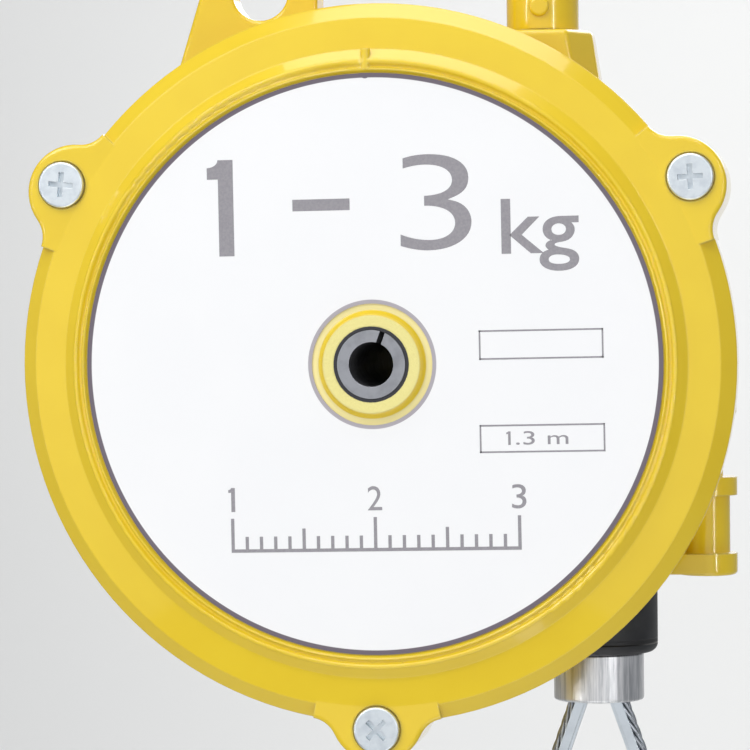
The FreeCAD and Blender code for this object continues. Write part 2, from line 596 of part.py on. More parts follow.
def drum():
    """Grooved rope drum: rim with two flanges, a web with holes, ribs and a hub."""
    borders = groove_borders(-1)[::-1] + groove_borders(1)
    P = lambda r, y: V(r, y, 0)
    inner = DRUM_ROOT_R - DRUM_RIM_T
    edges = [line(P(inner, DRUM_FRONT), P(DRUM_FLANGE_R, DRUM_FRONT)),
             line(P(DRUM_FLANGE_R, DRUM_FRONT), P(DRUM_FLANGE_R, DRUM_FRONT + DRUM_FLANGE_T)),
             line(P(DRUM_FLANGE_R, DRUM_FRONT + DRUM_FLANGE_T), P(DRUM_ROOT_R, DRUM_FRONT + DRUM_FLANGE_T + 1)),
             line(P(DRUM_ROOT_R, DRUM_FRONT + DRUM_FLANGE_T + 1), P(DRUM_ROOT_R, borders[0]))]
    for low, high in zip(borders, borders[1:]):
        edges.append(arc(P(DRUM_ROOT_R, low), P(DRUM_ROOT_R - 0.5, (low + high) / 2), P(DRUM_ROOT_R, high)))
    back = DRUM_BACK - DRUM_FLANGE_T
    edges += [line(P(DRUM_ROOT_R, borders[-1]), P(DRUM_ROOT_R, back - 0.4)),
              line(P(DRUM_ROOT_R, back - 0.4), P(DRUM_FLANGE_R, back)),
              line(P(DRUM_FLANGE_R, back), P(DRUM_FLANGE_R, DRUM_BACK)),
              line(P(DRUM_FLANGE_R, DRUM_BACK), P(inner, DRUM_BACK)),
              line(P(inner, DRUM_BACK), P(inner, DRUM_FRONT))]
    rim = turned(edges)
    web_y = (DRUM_FRONT + DRUM_BACK) / 2
    web = washer(inner + 0.5, SHAFT_R + PRESS_GAP, web_y - DRUM_WEB_T / 2, web_y + DRUM_WEB_T / 2)
    hub = washer(DRUM_HUB_R, SHAFT_R + PRESS_GAP, DRUM_FRONT - 2.0, DRUM_BACK)
    ribs = []
    for step in range(6):
        rib = block(DRUM_HUB_R - 1, inner + 0.5, web_y - 6, web_y + 6, -1.0, 1.0)
        ribs.append(spun(rib, ORIGIN, AXIS_Y, 60 * step))
    body = rim.fuse([web, hub] + ribs)
    hole_r = (inner - DRUM_HUB_R) / 2
    for step in range(6):
        at = polar(V(0, web_y - 3, 0), DRUM_HUB_R + hole_r, 30 + 60 * step)
        body = body.cut(rod(hole_r * 0.5, at, AXIS_Y, 6))
    body = body.cut(set_screw_shape(PRESS_GAP))
    return body.cut(rope_anchor_shape(PRESS_GAP)).removeSplitter()


def set_screw_shape(gap):
    """Grub screw through the drum hub, square to the shaft's slot."""
    start = V(SHAFT_R + PRESS_GAP, DRUM_FRONT + 1.5, 0)
    screw = rod(1.5 + gap, start, AXIS_X, DRUM_HUB_R - SHAFT_R - 0.5 + gap)
    return spun(screw, ORIGIN, AXIS_Y, SLOT_ANGLE)


def rope_anchor_shape(gap):
    """Crimped sleeve on the rope's inner end, let into the drum's back flange."""
    centre = polar(V(0, DRUM_BACK - 5.0, 0), DRUM_ROOT_R - 1.0, 200)
    return rod(2.2 + gap, centre, AXIS_Y, 6.0)


def rope_windings():
    """The turns of rope on the drum, lying in their grooves on both sides of the rope line."""
    P = lambda r, y: V(r, y, 0)
    groups = []
    for side in (-1, 1):
        borders = groove_borders(side)
        edges = []
        for near, far in zip(borders, borders[1:]):
            edges.append(arc(P(ROPE_X, near), P(ROPE_X + ROPE_R, (near + far) / 2), P(ROPE_X, far)))
        edges.append(line(P(ROPE_X, borders[-1]), P(DRUM_ROOT_R, borders[-1])))
        edges.append(line(P(DRUM_ROOT_R, borders[-1]), P(DRUM_ROOT_R, borders[0])))
        edges.append(line(P(DRUM_ROOT_R, borders[0]), P(ROPE_X, borders[0])))
        groups.append(turned(edges).cut(rope_anchor_shape(PRESS_GAP)))
    return Part.makeCompound(groups)


def drum_washer(front):
    """Thrust washer at one end of the drum hub."""
    if front:
        return washer(DRUM_HUB_R - 1, SHAFT_R + 0.3, HUB_Y + HUB_LENGTH + FACE_GAP, DRUM_FRONT - 2.0)
    return washer(DRUM_HUB_R, SHAFT_R + 0.3, DRUM_BACK, CASE_FRONT - FACE_GAP)


def rope_guide():
    """Flanged plastic bush in the floor of the drum chamber."""
    foot = V(ROPE_X, ROPE_Y, NOTCH_Z)
    body = rod(GUIDE_R, foot, AXIS_Z, SHELL_WALL)
    flange = rod(GUIDE_FLANGE_R, foot + V(0, 0, SHELL_WALL), AXIS_Z, GUIDE_FLANGE_T)
    whole = body.fuse([flange]).cut(rod(GUIDE_BORE_R, foot + V(0, 0, -1), AXIS_Z, 12))
    funnel = Part.makeCone(GUIDE_BORE_R + 1.6, GUIDE_BORE_R, 2.0,
                           foot + V(0, 0, SHELL_WALL + GUIDE_FLANGE_T), -AXIS_Z)
    return whole.cut(funnel).removeSplitter()


# ---------------------------------------------------------------- spring and its case

def wheel_outline(twist, y):
    """Closed outline of the worm wheel at one depth."""
    slope = math.tan(math.radians(PRESSURE_ANGLE))
    half = TOOTH_SHARE * WORM_PITCH / 2
    half_tip = math.degrees((half - MODULE * slope) / WHEEL_R)
    half_root = math.degrees((half + 1.25 * MODULE * slope) / WHEEL_R)
    centre = V(0, y, 0)
    points = []
    for tooth in range(WHEEL_TEETH):
        middle = tooth * 360.0 / WHEEL_TEETH - twist
        points.append(polar(centre, WHEEL_ROOT_R, middle - half_root))
        points.append(polar(centre, WHEEL_R + MODULE, middle - half_tip))
        points.append(polar(centre, WHEEL_R + MODULE, middle + half_tip))
        points.append(polar(centre, WHEEL_ROOT_R, middle + half_root))
    return Part.makePolygon(points + [points[0]])


def spring_case():
    """Cup with worm wheel teeth on its rim, running on the housing's rear sleeve."""
    lead = WORM_PITCH / (2 * math.pi * WORM_R)
    twist = math.degrees(lead * WHEEL_W / 2 / WHEEL_R)
    teeth = Part.makeLoft([wheel_outline(-twist, WHEEL_FRONT), wheel_outline(twist, WHEEL_BACK)],
                          True, True)
    front_rim = disc(WHEEL_ROOT_R, CASE_FRONT + CASE_LID_T, WHEEL_FRONT)
    back_rim = disc(WHEEL_ROOT_R, WHEEL_BACK, CASE_BACK)
    cup = teeth.fuse([front_rim, back_rim])
    cup = cup.cut(disc(CASE_IN_R, CASE_FRONT, CASE_BACK - CASE_BACK_T))
    cup = cup.cut(disc(SLEEVE_R + RUN_FIT, CASE_FRONT, SHELL_DEPTH))
    for angle in LID_RIVET_ANGLES:
        cup = cup.cut(lid_rivet_shape(angle, PRESS_GAP))
    return cup.cut(spring_anchor_shape(PRESS_GAP))


def spring_case_lid():
    lid = washer(WHEEL_ROOT_R, SHAFT_R + 0.5, CASE_FRONT, CASE_FRONT + CASE_LID_T)
    for angle in LID_RIVET_ANGLES:
        lid = lid.cut(lid_rivet_shape(angle, PRESS_GAP))
    return lid


def lid_rivet_shape(angle, gap):
    """Rivet in the rim of the case, with its head sunk flush into the lid."""
    at = polar(V(0, CASE_FRONT, 0), (CASE_IN_R + WHEEL_ROOT_R) / 2, angle)
    head = Part.makeCone(LID_RIVET_R + LID_RIVET_SINK + gap, LID_RIVET_R + gap, LID_RIVET_SINK, at, AXIS_Y)
    return rod(LID_RIVET_R + gap, at, AXIS_Y, LID_RIVET_L + gap).fuse([head])


def lid_rivets():
    return Part.makeCompound([lid_rivet_shape(angle, 0) for angle in LID_RIVET_ANGLES])


def spring_anchor_at(y):
    """Centre of the anchor pin: in line with the shaft's slot, just inside the case rim."""
    return polar(V(0, y, 0), CASE_IN_R - SPRING_EYE_R - FACE_GAP, 90 - SLOT_ANGLE)


def spring_anchor_shape(gap):
    """Pin in the case rim that the spring's outer end curls round."""
    start = spring_anchor_at(CASE_FRONT + CASE_LID_T)
    return rod(ANCHOR_R + gap, start, AXIS_Y, CASE_BACK - CASE_FRONT - CASE_LID_T - 0.6)


def main_spring():
    """Flat spiral spring: half-circle runs on two centres, an inner tab and an outer eye."""
    inner = SHAFT_R + 3.0
    outer = CASE_IN_R - FACE_GAP - 2 * SPRING_EYE_R
    pitch = (outer - inner) / SPRING_TURNS
    y_front = CASE_FRONT + CASE_LID_T + SPRING_SIDE_GAP
    y_back = CASE_BACK - CASE_BACK_T - SPRING_SIDE_GAP
    inner_side = []
    outer_side = []
    for half in range(2 * SPRING_TURNS):
        centre = V(pitch / 4 * (1 if half % 2 else -1), 0, 0)
        radius = inner + pitch / 4 + half * pitch / 2
        first = 180.0 * half
        inner_side.append(arc_between(centre, radius, first, first + 180))
        outer_side.append(arc_between(centre, radius + SPRING_T, first, first + 180))
    ends = [line(V(inner, 0, 0), V(inner + SPRING_T, 0, 0)),
            line(V(outer, 0, 0), V(outer + SPRING_T, 0, 0))]
    strip = slab(Part.__sortEdges__(inner_side + outer_side + ends), y_front, y_back)
    tab = block(1.0, inner + SPRING_T, y_front, y_back, -SHAFT_SLOT * 0.3, SHAFT_SLOT * 0.3)
    strip = spun(strip.fuse([tab]), ORIGIN, AXIS_Y, SLOT_ANGLE - 90)
    eye = tube(SPRING_EYE_R, ANCHOR_R + RUN_FIT, spring_anchor_at(y_front), AXIS_Y, y_back - y_front)
    strip = strip.cut(rod(ANCHOR_R + RUN_FIT, spring_anchor_at(y_front), AXIS_Y, y_back - y_front))
    return strip.fuse([eye]).removeSplitter()


# ---------------------------------------------------------------- adjusting worm

def worm_gear():
    """Right-handed worm with a plain sleeve below it for the cross pin."""
    low = -WORM_LENGTH / 2
    core = rod(WORM_ROOT_R, V(0, 0, low - 2 * WORM_PITCH), AXIS_Z, WORM_LENGTH + 4 * WORM_PITCH)
    ends = rod(POCKET_R, V(0, 0, low), AXIS_Z, WORM_LENGTH)
    worm = core.fuse(worm_thread()).common(ends)
    worm = worm.fuse([rod(WORM_SLEEVE_R, V(0, 0, low - WORM_SLEEVE), AXIS_Z, WORM_SLEEVE)])
    worm = worm.cut(rod(ADJUST_R + PRESS_GAP, V(0, 0, low - WORM_SLEEVE - 1), AXIS_Z, 40))
    worm = spun(worm, ORIGIN, AXIS_Z, 180)
    worm.translate(V(WORM_X, WORM_Y, 0))
    return worm.cut(worm_pin_shape(PRESS_GAP))


def worm_thread():
    """Rack-shaped thread on its helix; half a pitch up, so a gap takes the tooth at z = 0."""
    turns = 2 * (int(WORM_LENGTH / WORM_PITCH / 2) + 2)
    half = TOOTH_SHARE * WORM_PITCH / 2
    slope = math.tan(math.radians(PRESSURE_ANGLE))
    sunk_r = WORM_ROOT_R - 0.3
    deep = WORM_R - sunk_r
    profile = [V(sunk_r, 0, -half - deep * slope), V(WORM_TIP_R, 0, -half + MODULE * slope),
               V(WORM_TIP_R, 0, half - MODULE * slope), V(sunk_r, 0, half + deep * slope)]
    section = Part.makePolygon(profile + [profile[0]])
    helix = Part.makeHelix(WORM_PITCH, turns * WORM_PITCH, WORM_R)
    thread = Part.Wire(helix.Edges).makePipeShell([section], True, True)
    thread.translate(V(0, 0, (0.5 - turns / 2) * WORM_PITCH))
    return thread


def worm_pin_shape(gap):
    at = V(WORM_X, WORM_Y - WORM_SLEEVE_R - gap, -WORM_LENGTH / 2 - WORM_SLEEVE / 2)
    return rod(WORM_PIN_R + gap, at, AXIS_Y, 2 * (WORM_SLEEVE_R + gap))


def adjuster_shaft():
    """Spindle with the hexagon socket for the adjusting key."""
    head_bottom = clip_z() + CLIP_T + 0.1
    head_top = KEY_BOSS_TOP - COLLAR_TOP_H / 2 - FACE_GAP
    stem = rod(ADJUST_R, V(WORM_X, WORM_Y, head_top), AXIS_Z, POCKET_TOP + TOP_JOURNAL_H - FACE_GAP - head_top)
    head = rod(ADJUST_HEAD_R, V(WORM_X, WORM_Y, head_bottom), AXIS_Z, head_top - head_bottom)
    corner = HEX_AF / math.sqrt(3)
    points = [V(WORM_X + corner * math.cos(math.radians(60 * k)),
                WORM_Y + corner * math.sin(math.radians(60 * k)), head_bottom - 1) for k in range(6)]
    socket = Part.Face(Part.makePolygon(points + [points[0]])).extrude(V(0, 0, HEX_DEPTH + 1))
    whole = stem.fuse([head]).cut(socket)
    return whole.cut(worm_pin_shape(PRESS_GAP))


def adjuster_clip():
    """Retaining ring in the boss, open at one side."""
    at = V(WORM_X, WORM_Y, clip_z())
    ring = tube(ADJUST_HEAD_R + 0.65, ADJUST_HEAD_R - 0.5, at, AXIS_Z, CLIP_T - 0.04)
    gap = block(WORM_X - 1, WORM_X + 1, WORM_Y, WORM_Y + 8, clip_z() - 1, clip_z() + 2)
    return ring.cut(gap)


# ---------------------------------------------------------------- rope end

def rope_tail():
    """Rope from the drum's side, through the guide and buffer, into the ferrule."""
    bottom = FERRULE_BOTTOM + FERRULE_H / 2
    return rod(ROPE_R, V(ROPE_X, ROPE_Y, bottom), AXIS_Z, -bottom)


def rubber_buffer():
    body = rod(BUFFER_R, V(ROPE_X, ROPE_Y, BUFFER_BOTTOM), AXIS_Z, BUFFER_H)
    edge = lambda z: (lambda e: abs(e.BoundBox.ZMin - z) < 0.01 and e.BoundBox.ZLength < 0.01)
    body = rounded(body, 2.0, edge(BUFFER_BOTTOM))
    body = rounded(body, 0.8, edge(BUFFER_TOP))
    return body.cut(rod(BUFFER_BORE_R, V(ROPE_X, ROPE_Y, BUFFER_BOTTOM - 1), AXIS_Z, BUFFER_H + 2))


def loop_half_width(radius, z):
    """Half width of the loop's straight legs at a height, for a given bend radius."""
    apex = BEND_Z + radius / math.sin(math.radians(LOOP_HALF_ANGLE))
    return (apex - z) * math.tan(math.radians(LOOP_HALF_ANGLE))


def leg_foot(radius, side):
    """Where a leg runs into the bend."""
    angle = LOOP_HALF_ANGLE if side > 0 else 180 - LOOP_HALF_ANGLE
    return polar(V(ROPE_X, ROPE_Y, BEND_Z), radius, angle)


def teardrop(radius, top):
    """Closed outline: two legs up to a flat top, and the bend below."""
    left_top = V(ROPE_X - loop_half_width(radius, top), ROPE_Y, top)
    right_top = V(ROPE_X + loop_half_width(radius, top), ROPE_Y, top)
    left = leg_foot(radius, -1)
    right = leg_foot(radius, 1)
    bottom = V(ROPE_X, ROPE_Y, BEND_Z - radius)
    return [line(left_top, left), arc(left, bottom, right), line(right, right_top),
            line(right_top, left_top)]


def thimble():
    """Bent steel channel that lines the rope loop."""
    top = FERRULE_BOTTOM - 0.4
    half = THIMBLE_W / 2
    lip = (THIMBLE_W - 2 * ROPE_R) / 2 - 0.05
    base = slab_at(teardrop(THIMBLE_IN_R + THIMBLE_T, top), -half, half)
    sides = slab_at(teardrop(THIMBLE_IN_R + THIMBLE_T + ROPE_R, top), -half, half)
    groove = slab_at(teardrop(THIMBLE_IN_R + THIMBLE_T + ROPE_R + 2, top + 4), -half + lip, half - lip)
    hollow = slab_at(teardrop(THIMBLE_IN_R, top + 4), -half - 1, half + 1)
    channel = sides.cut(groove).fuse([base]).cut(hollow)
    bevel = 0.6
    for sign in (-1, 1):
        mouth = slab_at(teardrop(THIMBLE_IN_R + bevel, top + 4), *sorted((sign * half, sign * (half - bevel))))
        channel = channel.cut(mouth)
    return channel.removeSplitter()


def slab_at(edges, near, far):
    """Solid of an outline drawn in the rope's plane."""
    face = Part.Face(Part.Wire(edges))
    face.translate(V(0, near, 0))
    return face.extrude(V(0, far - near, 0))


def rope_loop():
    """Rope around the thimble, both ends in the ferrule."""
    top = FERRULE_BOTTOM + 2.0
    left_top = V(ROPE_X - loop_half_width(LOOP_R, top), ROPE_Y, top)
    right_top = V(ROPE_X + loop_half_width(LOOP_R, top), ROPE_Y, top)
    left = leg_foot(LOOP_R, -1)
    right = leg_foot(LOOP_R, 1)
    bottom = V(ROPE_X, ROPE_Y, BEND_Z - LOOP_R)
    path = Part.Wire([line(left_top, left), arc(left, bottom, right), line(right, right_top)])
    start = (left - left_top).normalize()
    section = Part.Wire(Part.makeCircle(ROPE_R - 0.02, left_top, start))
    return path.makePipeShell([section], True, False)


def ferrule():
    body = rod(FERRULE_R, V(ROPE_X, ROPE_Y, FERRULE_BOTTOM), AXIS_Z, FERRULE_H)
    flat_edge = lambda e: e.BoundBox.ZLength < 0.01 and isinstance(e.Curve, Part.Circle)
    body = rounded(body, 0.6, flat_edge)
    body = body.cut(rod(ROPE_R + PRESS_GAP, V(ROPE_X, ROPE_Y, FERRULE_BOTTOM + FERRULE_H / 2),
                        AXIS_Z, FERRULE_H))
    for sign in (-1, 1):
        slope = math.radians(LOOP_HALF_ANGLE)
        down = V(sign * math.sin(slope), 0, -math.cos(slope))
        top = FERRULE_BOTTOM + 2.0
        start = V(ROPE_X + sign * loop_half_width(LOOP_R, top), ROPE_Y, top)
        body = body.cut(rod(ROPE_R + PRESS_GAP, start, down, 8))
    return body


# ---------------------------------------------------------------- hooks and latches

def hook_outline(bowl, base, shank, height, nose_up):
    """Hook in the XZ plane with its bowl centred on the origin and the shank going up.

    The back is a circle set lower than the bowl, so the hook is thickest at its base.
    """
    drop = base * 0.18
    back_r = bowl + base - drop
    back_c = V(0, 0, -drop)
    inner_blend = bowl * 0.9
    outer_blend = bowl * 1.1
    nose_r = (base - drop) * 0.42
    inner_c = V(inner_blend - shank, 0, math.sqrt((inner_blend + bowl) ** 2 - (inner_blend - shank) ** 2))
    outer_c = V(shank + outer_blend, 0,
                -drop + math.sqrt((back_r + outer_blend) ** 2 - (shank + outer_blend) ** 2))
    nose_c = V(-bowl - nose_r, 0, nose_up)
    inner_touch = angle_of(ORIGIN, inner_c)
    outer_touch = angle_of(back_c, outer_c)
    to_nose = nose_c - back_c
    lean = math.degrees(math.acos((back_r - nose_r) / math.hypot(to_nose.x, to_nose.z)))
    flank = angle_of(back_c, nose_c) + lean
    edges = [
        line(V(-shank, 0, height), V(-shank, 0, inner_c.z)),
        arc_between(inner_c, inner_blend, 180, 180 + inner_touch),
        arc_between(ORIGIN, bowl, inner_touch, -180),
        line(V(-bowl, 0, 0), V(-bowl, 0, nose_up)),
        arc_between(nose_c, nose_r, 0, flank),
        line(polar(nose_c, nose_r, flank), polar(back_c, back_r, flank)),
        arc_between(back_c, back_r, flank, 360 + outer_touch),
        arc_between(outer_c, outer_blend, 180 + outer_touch, 180),
        line(V(shank, 0, outer_c.z), V(shank, 0, height)),
        line(V(shank, 0, height), V(-shank, 0, height))]
    return edges


def hook_plate(bowl, base, shank, height, nose_up, thick):
    """Forged hook with well rounded edges."""
    plate = slab(hook_outline(bowl, base, shank, height, nose_up), -thick / 2, thick / 2)
    flat = lambda e: e.BoundBox.YLength < 0.01 and e.BoundBox.ZMin < height - 0.01
    return rounded(plate, thick * 0.28, flat)


def latch_lean(bowl, rivet_z):
    """Angle of a closed latch from straight down, and its length to the nose."""
    target = V(-bowl + FACE_GAP, 0, rivet_z * 0.22)
    return math.degrees(math.atan2(-target.x, rivet_z - target.z)), math.hypot(target.x, rivet_z - target.z)


def latch_channel(bowl, rivet_z, thick):
    """Pressed steel latch: two cheeks that straddle the hook and a web that shuts the mouth."""
    lean, length = latch_lean(bowl, rivet_z)
    near = -thick / 2 - LATCH_GAP - LATCH_T
    far = thick / 2 + LATCH_SPRING_GAP + LATCH_T
    web_start = bowl * LATCH_WEB_SHARE
    cheek_edges = [arc(V(-4.0, 0, 0), V(0, 0, 4.0), V(4.0, 0, 0)),
                   line(V(4.0, 0, 0), V(4.4, 0, -length + 2.5)),
                   arc(V(4.4, 0, -length + 2.5), V(3.7, 0, -length + 0.7), V(1.9, 0, -length)),
                   line(V(1.9, 0, -length), V(0, 0, -length)),
                   line(V(0, 0, -length), V(0, 0, -web_start)),
                   line(V(0, 0, -web_start), V(-4.0, 0, 0))]
    channel = slab(cheek_edges, near, near + LATCH_T)
    channel = channel.fuse([slab(cheek_edges, far - LATCH_T, far)])
    web = block(0, LATCH_T, near + 0.1, far - 0.1, -length, -web_start)
    channel = channel.fuse([web])
    channel = channel.cut(rod(RIVET_R + RUN_FIT, V(0, near - 1, 0), AXIS_Y, far - near + 2))
    channel = spun(channel, ORIGIN, AXIS_Y, lean)
    channel.translate(V(0, 0, rivet_z))
    return channel.removeSplitter()


def latch_rivet(rivet_z, thick):
    near = -thick / 2 - LATCH_GAP - LATCH_T
    far = thick / 2 + LATCH_SPRING_GAP + LATCH_T
    pin = rod(RIVET_R, V(0, near - 0.1, rivet_z), AXIS_Y, far - near + 0.2)
    heads = []
    for at, way in ((near - 0.1, -AXIS_Y), (far + 0.1, AXIS_Y)):
        head = rod(RIVET_HEAD_R, V(0, at, rivet_z), way, RIVET_HEAD_H)
        outer_y = at + way.y * RIVET_HEAD_H
        heads.append(rounded(head, RIVET_HEAD_H * 0.7,
                             lambda e: abs(e.BoundBox.Center.y - outer_y) < 0.01 and e.BoundBox.YLength < 0.01))
    return pin.fuse(heads)


def latch_spring(bowl, rivet_z, thick):
    """Torsion spring: coils round the rivet, one leg on the latch's web, one on the shank."""
    lean = latch_lean(bowl, rivet_z)[0]
    low = thick / 2 + 0.15
    width = LATCH_SPRING_GAP - 0.3
    inset = LATCH_WIRE_R + 0.1
    coil_in = RIVET_R + 0.3
    middle = coil_in + inset
    coil = tube(middle + inset, coil_in, V(0, low, 0), AXIS_Y, width)
    latch_leg = rod(LATCH_WIRE_R, V(middle, low + width - inset, 0), -AXIS_Z, bowl * LATCH_WEB_SHARE + 3)
    shank_leg = rod(LATCH_WIRE_R, V(-middle, low + inset, 0), AXIS_Z, LATCH_LEG)
    spring = spun(coil.fuse([latch_leg]), ORIGIN, AXIS_Y, lean).fuse([shank_leg])
    spring.translate(V(0, 0, rivet_z))
    return spring


def rivet_hole(rivet_z, thick):
    return rod(RIVET_R + PRESS_GAP, V(0, -thick, rivet_z), AXIS_Y, 2 * thick)


def upper_rivet_height():
    return UPPER_BOWL_R * 2.0


def lower_rivet_height():
    return LOWER_BOWL_R * 2.0


def upside_down(shape):
    """Places a hook piece at the upper hook, with its shank going down."""
    placed = spun(shape, ORIGIN, AXIS_Y, 180)
    placed.translate(V(HOOK_X, ROPE_Y, UPPER_BOWL_Z))
    return placed


def sideways(shape):
    """Places a hook piece at the lower hook, turned into the YZ plane."""
    placed = spun(shape, ORIGIN, AXIS_Z, 90)
    placed.translate(V(ROPE_X, ROPE_Y, LOWER_BOWL_Z))
    return placed


def upper_hook():
    height = UPPER_BOWL_Z - SOCKET_TOP + 3.0
    plate = hook_plate(UPPER_BOWL_R, UPPER_BASE, UPPER_SHANK, height, UPPER_NOSE_UP, UPPER_THICK)
    plate = plate.cut(rivet_hole(upper_rivet_height(), UPPER_THICK))
    hook = upside_down(plate)
    foot = BOSS_Z + FACE_GAP
    barrel = rod(SOCKET_R, V(HOOK_X, ROPE_Y, foot), AXIS_Z, SOCKET_TOP - foot)
    barrel = rounded(barrel, 2.4, lambda e: abs(e.BoundBox.ZMin - SOCKET_TOP) < 0.01)
    hook = hook.fuse([barrel])
    hook = hook.cut(rod(STEM_R + PRESS_GAP, V(HOOK_X, ROPE_Y, foot - 1), AXIS_Z, STEM_UP + 1.2))
    return hook.cut(cross_pin_hole(PRESS_GAP)).removeSplitter()


def cross_pin_hole(gap):
    return rod(PIN_R + gap, V(HOOK_X, ROPE_Y - 2 * SOCKET_R, PIN_Z), AXIS_Y, 4 * SOCKET_R)


def hook_pin():
    """Cross pin with domed heads."""
    seat = SOCKET_R - 0.25
    pin = rod(PIN_R, V(HOOK_X, ROPE_Y - seat, PIN_Z), AXIS_Y, 2 * seat)
    heads = []
    for way in (-1, 1):
        at = V(HOOK_X, ROPE_Y + way * SOCKET_R, PIN_Z)
        head = rod(PIN_HEAD_R, at, AXIS_Y * way, PIN_HEAD_H)
        outer_y = at.y + way * PIN_HEAD_H
        heads.append(rounded(head, PIN_HEAD_H * 0.8,
                             lambda e: abs(e.BoundBox.Center.y - outer_y) < 0.01 and e.BoundBox.YLength < 0.01))
    stub = rod(PIN_R, V(HOOK_X, ROPE_Y - SOCKET_R, PIN_Z), AXIS_Y, 2 * SOCKET_R)
    return pin.fuse(heads + [stub]).removeSplitter()


def swivel_stem():
    """Headed pin that hangs the housing under the hook."""
    head_top = stem_seat() - FACE_GAP - WASHER_T
    stem = rod(STEM_R, V(HOOK_X, ROPE_Y, head_top), AXIS_Z, BOSS_Z + FACE_GAP + STEM_UP - head_top)
    head = rod(STEM_HEAD_R, V(HOOK_X, ROPE_Y, head_top - STEM_HEAD_H), AXIS_Z, STEM_HEAD_H)
    return stem.fuse([head]).cut(cross_pin_hole(PRESS_GAP)).removeSplitter()


def stem_washer():
    at = V(HOOK_X, ROPE_Y, stem_seat() - FACE_GAP - WASHER_T)
    return tube(STEM_HEAD_R, STEM_R + PRESS_GAP, at, AXIS_Z, WASHER_T)


def upper_latch():
    return upside_down(latch_channel(UPPER_BOWL_R, upper_rivet_height(), UPPER_THICK))


def lower_hook():
    top = LOWER_REACH - EYE_HOLE_R - EYE_BAR_R + 1.5
    plate = hook_plate(LOWER_BOWL_R, LOWER_BASE, LOWER_SHANK, top, LOWER_NOSE_UP, LOWER_THICK)
    eye = Part.makeTorus(EYE_HOLE_R + EYE_BAR_R, EYE_BAR_R, V(0, 0, LOWER_REACH), AXIS_Y)
    plate = plate.cut(rod(EYE_HOLE_R + EYE_BAR_R, V(0, -LOWER_THICK, LOWER_REACH), AXIS_Y, 2 * LOWER_THICK))
    hook = plate.fuse([eye]).cut(rivet_hole(lower_rivet_height(), LOWER_THICK))
    return sideways(hook.removeSplitter())


def lower_latch():
    return sideways(latch_channel(LOWER_BOWL_R, lower_rivet_height(), LOWER_THICK))


# ---------------------------------------------------------------- the whole balancer

PIECES = {
    "rear_housing": rear_housing,
    "front_cover": front_cover,
    "rating_label": rating_label,
    "cover_screws": cover_screws,
    "front_bush": front_bush,
    "rear_bush": rear_bush,
    "rope_guide": rope_guide,
    "adjuster_clip": adjuster_clip,
    "main_shaft": main_shaft,
    "drum": drum,
    "drum_set_screw": lambda: set_screw_shape(0),
    "drum_front_washer": lambda: drum_washer(True),
    "drum_back_washer": lambda: drum_washer(False),
    "rope_windings": rope_windings,
    "rope_anchor": lambda: rope_anchor_shape(0),
    "main_spring": main_spring,
    "spring_case": spring_case,
    "spring_case_lid": spring_case_lid,
    "lid_rivets": lid_rivets,
    "spring_anchor": lambda: spring_anchor_shape(0),
    "worm_gear": worm_gear,
    "worm_pin": lambda: worm_pin_shape(0),
    "adjuster_shaft": adjuster_shaft,
    "rope_tail": rope_tail,
    "rubber_buffer": rubber_buffer,
    "ferrule": ferrule,
    "thimble": thimble,
    "rope_loop": rope_loop,
    "lower_hook": lower_hook,
    "lower_latch": lower_latch,
    "lower_latch_rivet": lambda: sideways(latch_rivet(lower_rivet_height(), LOWER_THICK)),
    "lower_latch_spring": lambda: sideways(latch_spring(LOWER_BOWL_R, lower_rivet_height(), LOWER_THICK)),
    "upper_hook": upper_hook,
    "swivel_stem": swivel_stem,
    "stem_washer": stem_washer,
    "hook_pin": hook_pin,
    "upper_latch": upper_latch,
    "upper_latch_rivet": lambda: upside_down(latch_rivet(upper_rivet_height(), UPPER_THICK)),
    "upper_latch_spring": lambda: upside_down(latch_spring(UPPER_BOWL_R, upper_rivet_height(), UPPER_THICK)),
}

os.makedirs("parts", exist_ok=True)
for name, make in PIECES.items():
    shape = make()
    shape.translate(V(-HOOK_X, -ROPE_Y, -SEAT_Z))
    shape.exportStep("parts/" + name + ".step")
    box = shape.BoundBox
    print(name, "valid" if shape.isValid() else "INVALID", len(shape.Solids), "solid(s)",
          round(shape.Volume, 1), "mm3",
          [round(value, 1) for value in (box.XMin, box.XMax, box.YMin, box.YMax, box.ZMin, box.ZMax)])
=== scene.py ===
# %% [markdown]
# # A spring tool balancer
# A balancer carries a tool on a wire rope, so that the tool feels almost weightless. Its parts
# are already solid and in place: this file gives them their finishes, and adds what is too fine
# for a solid, such as the strands of the rope and the print on the plate. The first step loads
# the solids as a fixed frame and keeps the size of the whole, which is printed at the end.

import cmath
import math

import bpy
from mathutils import Matrix, Vector


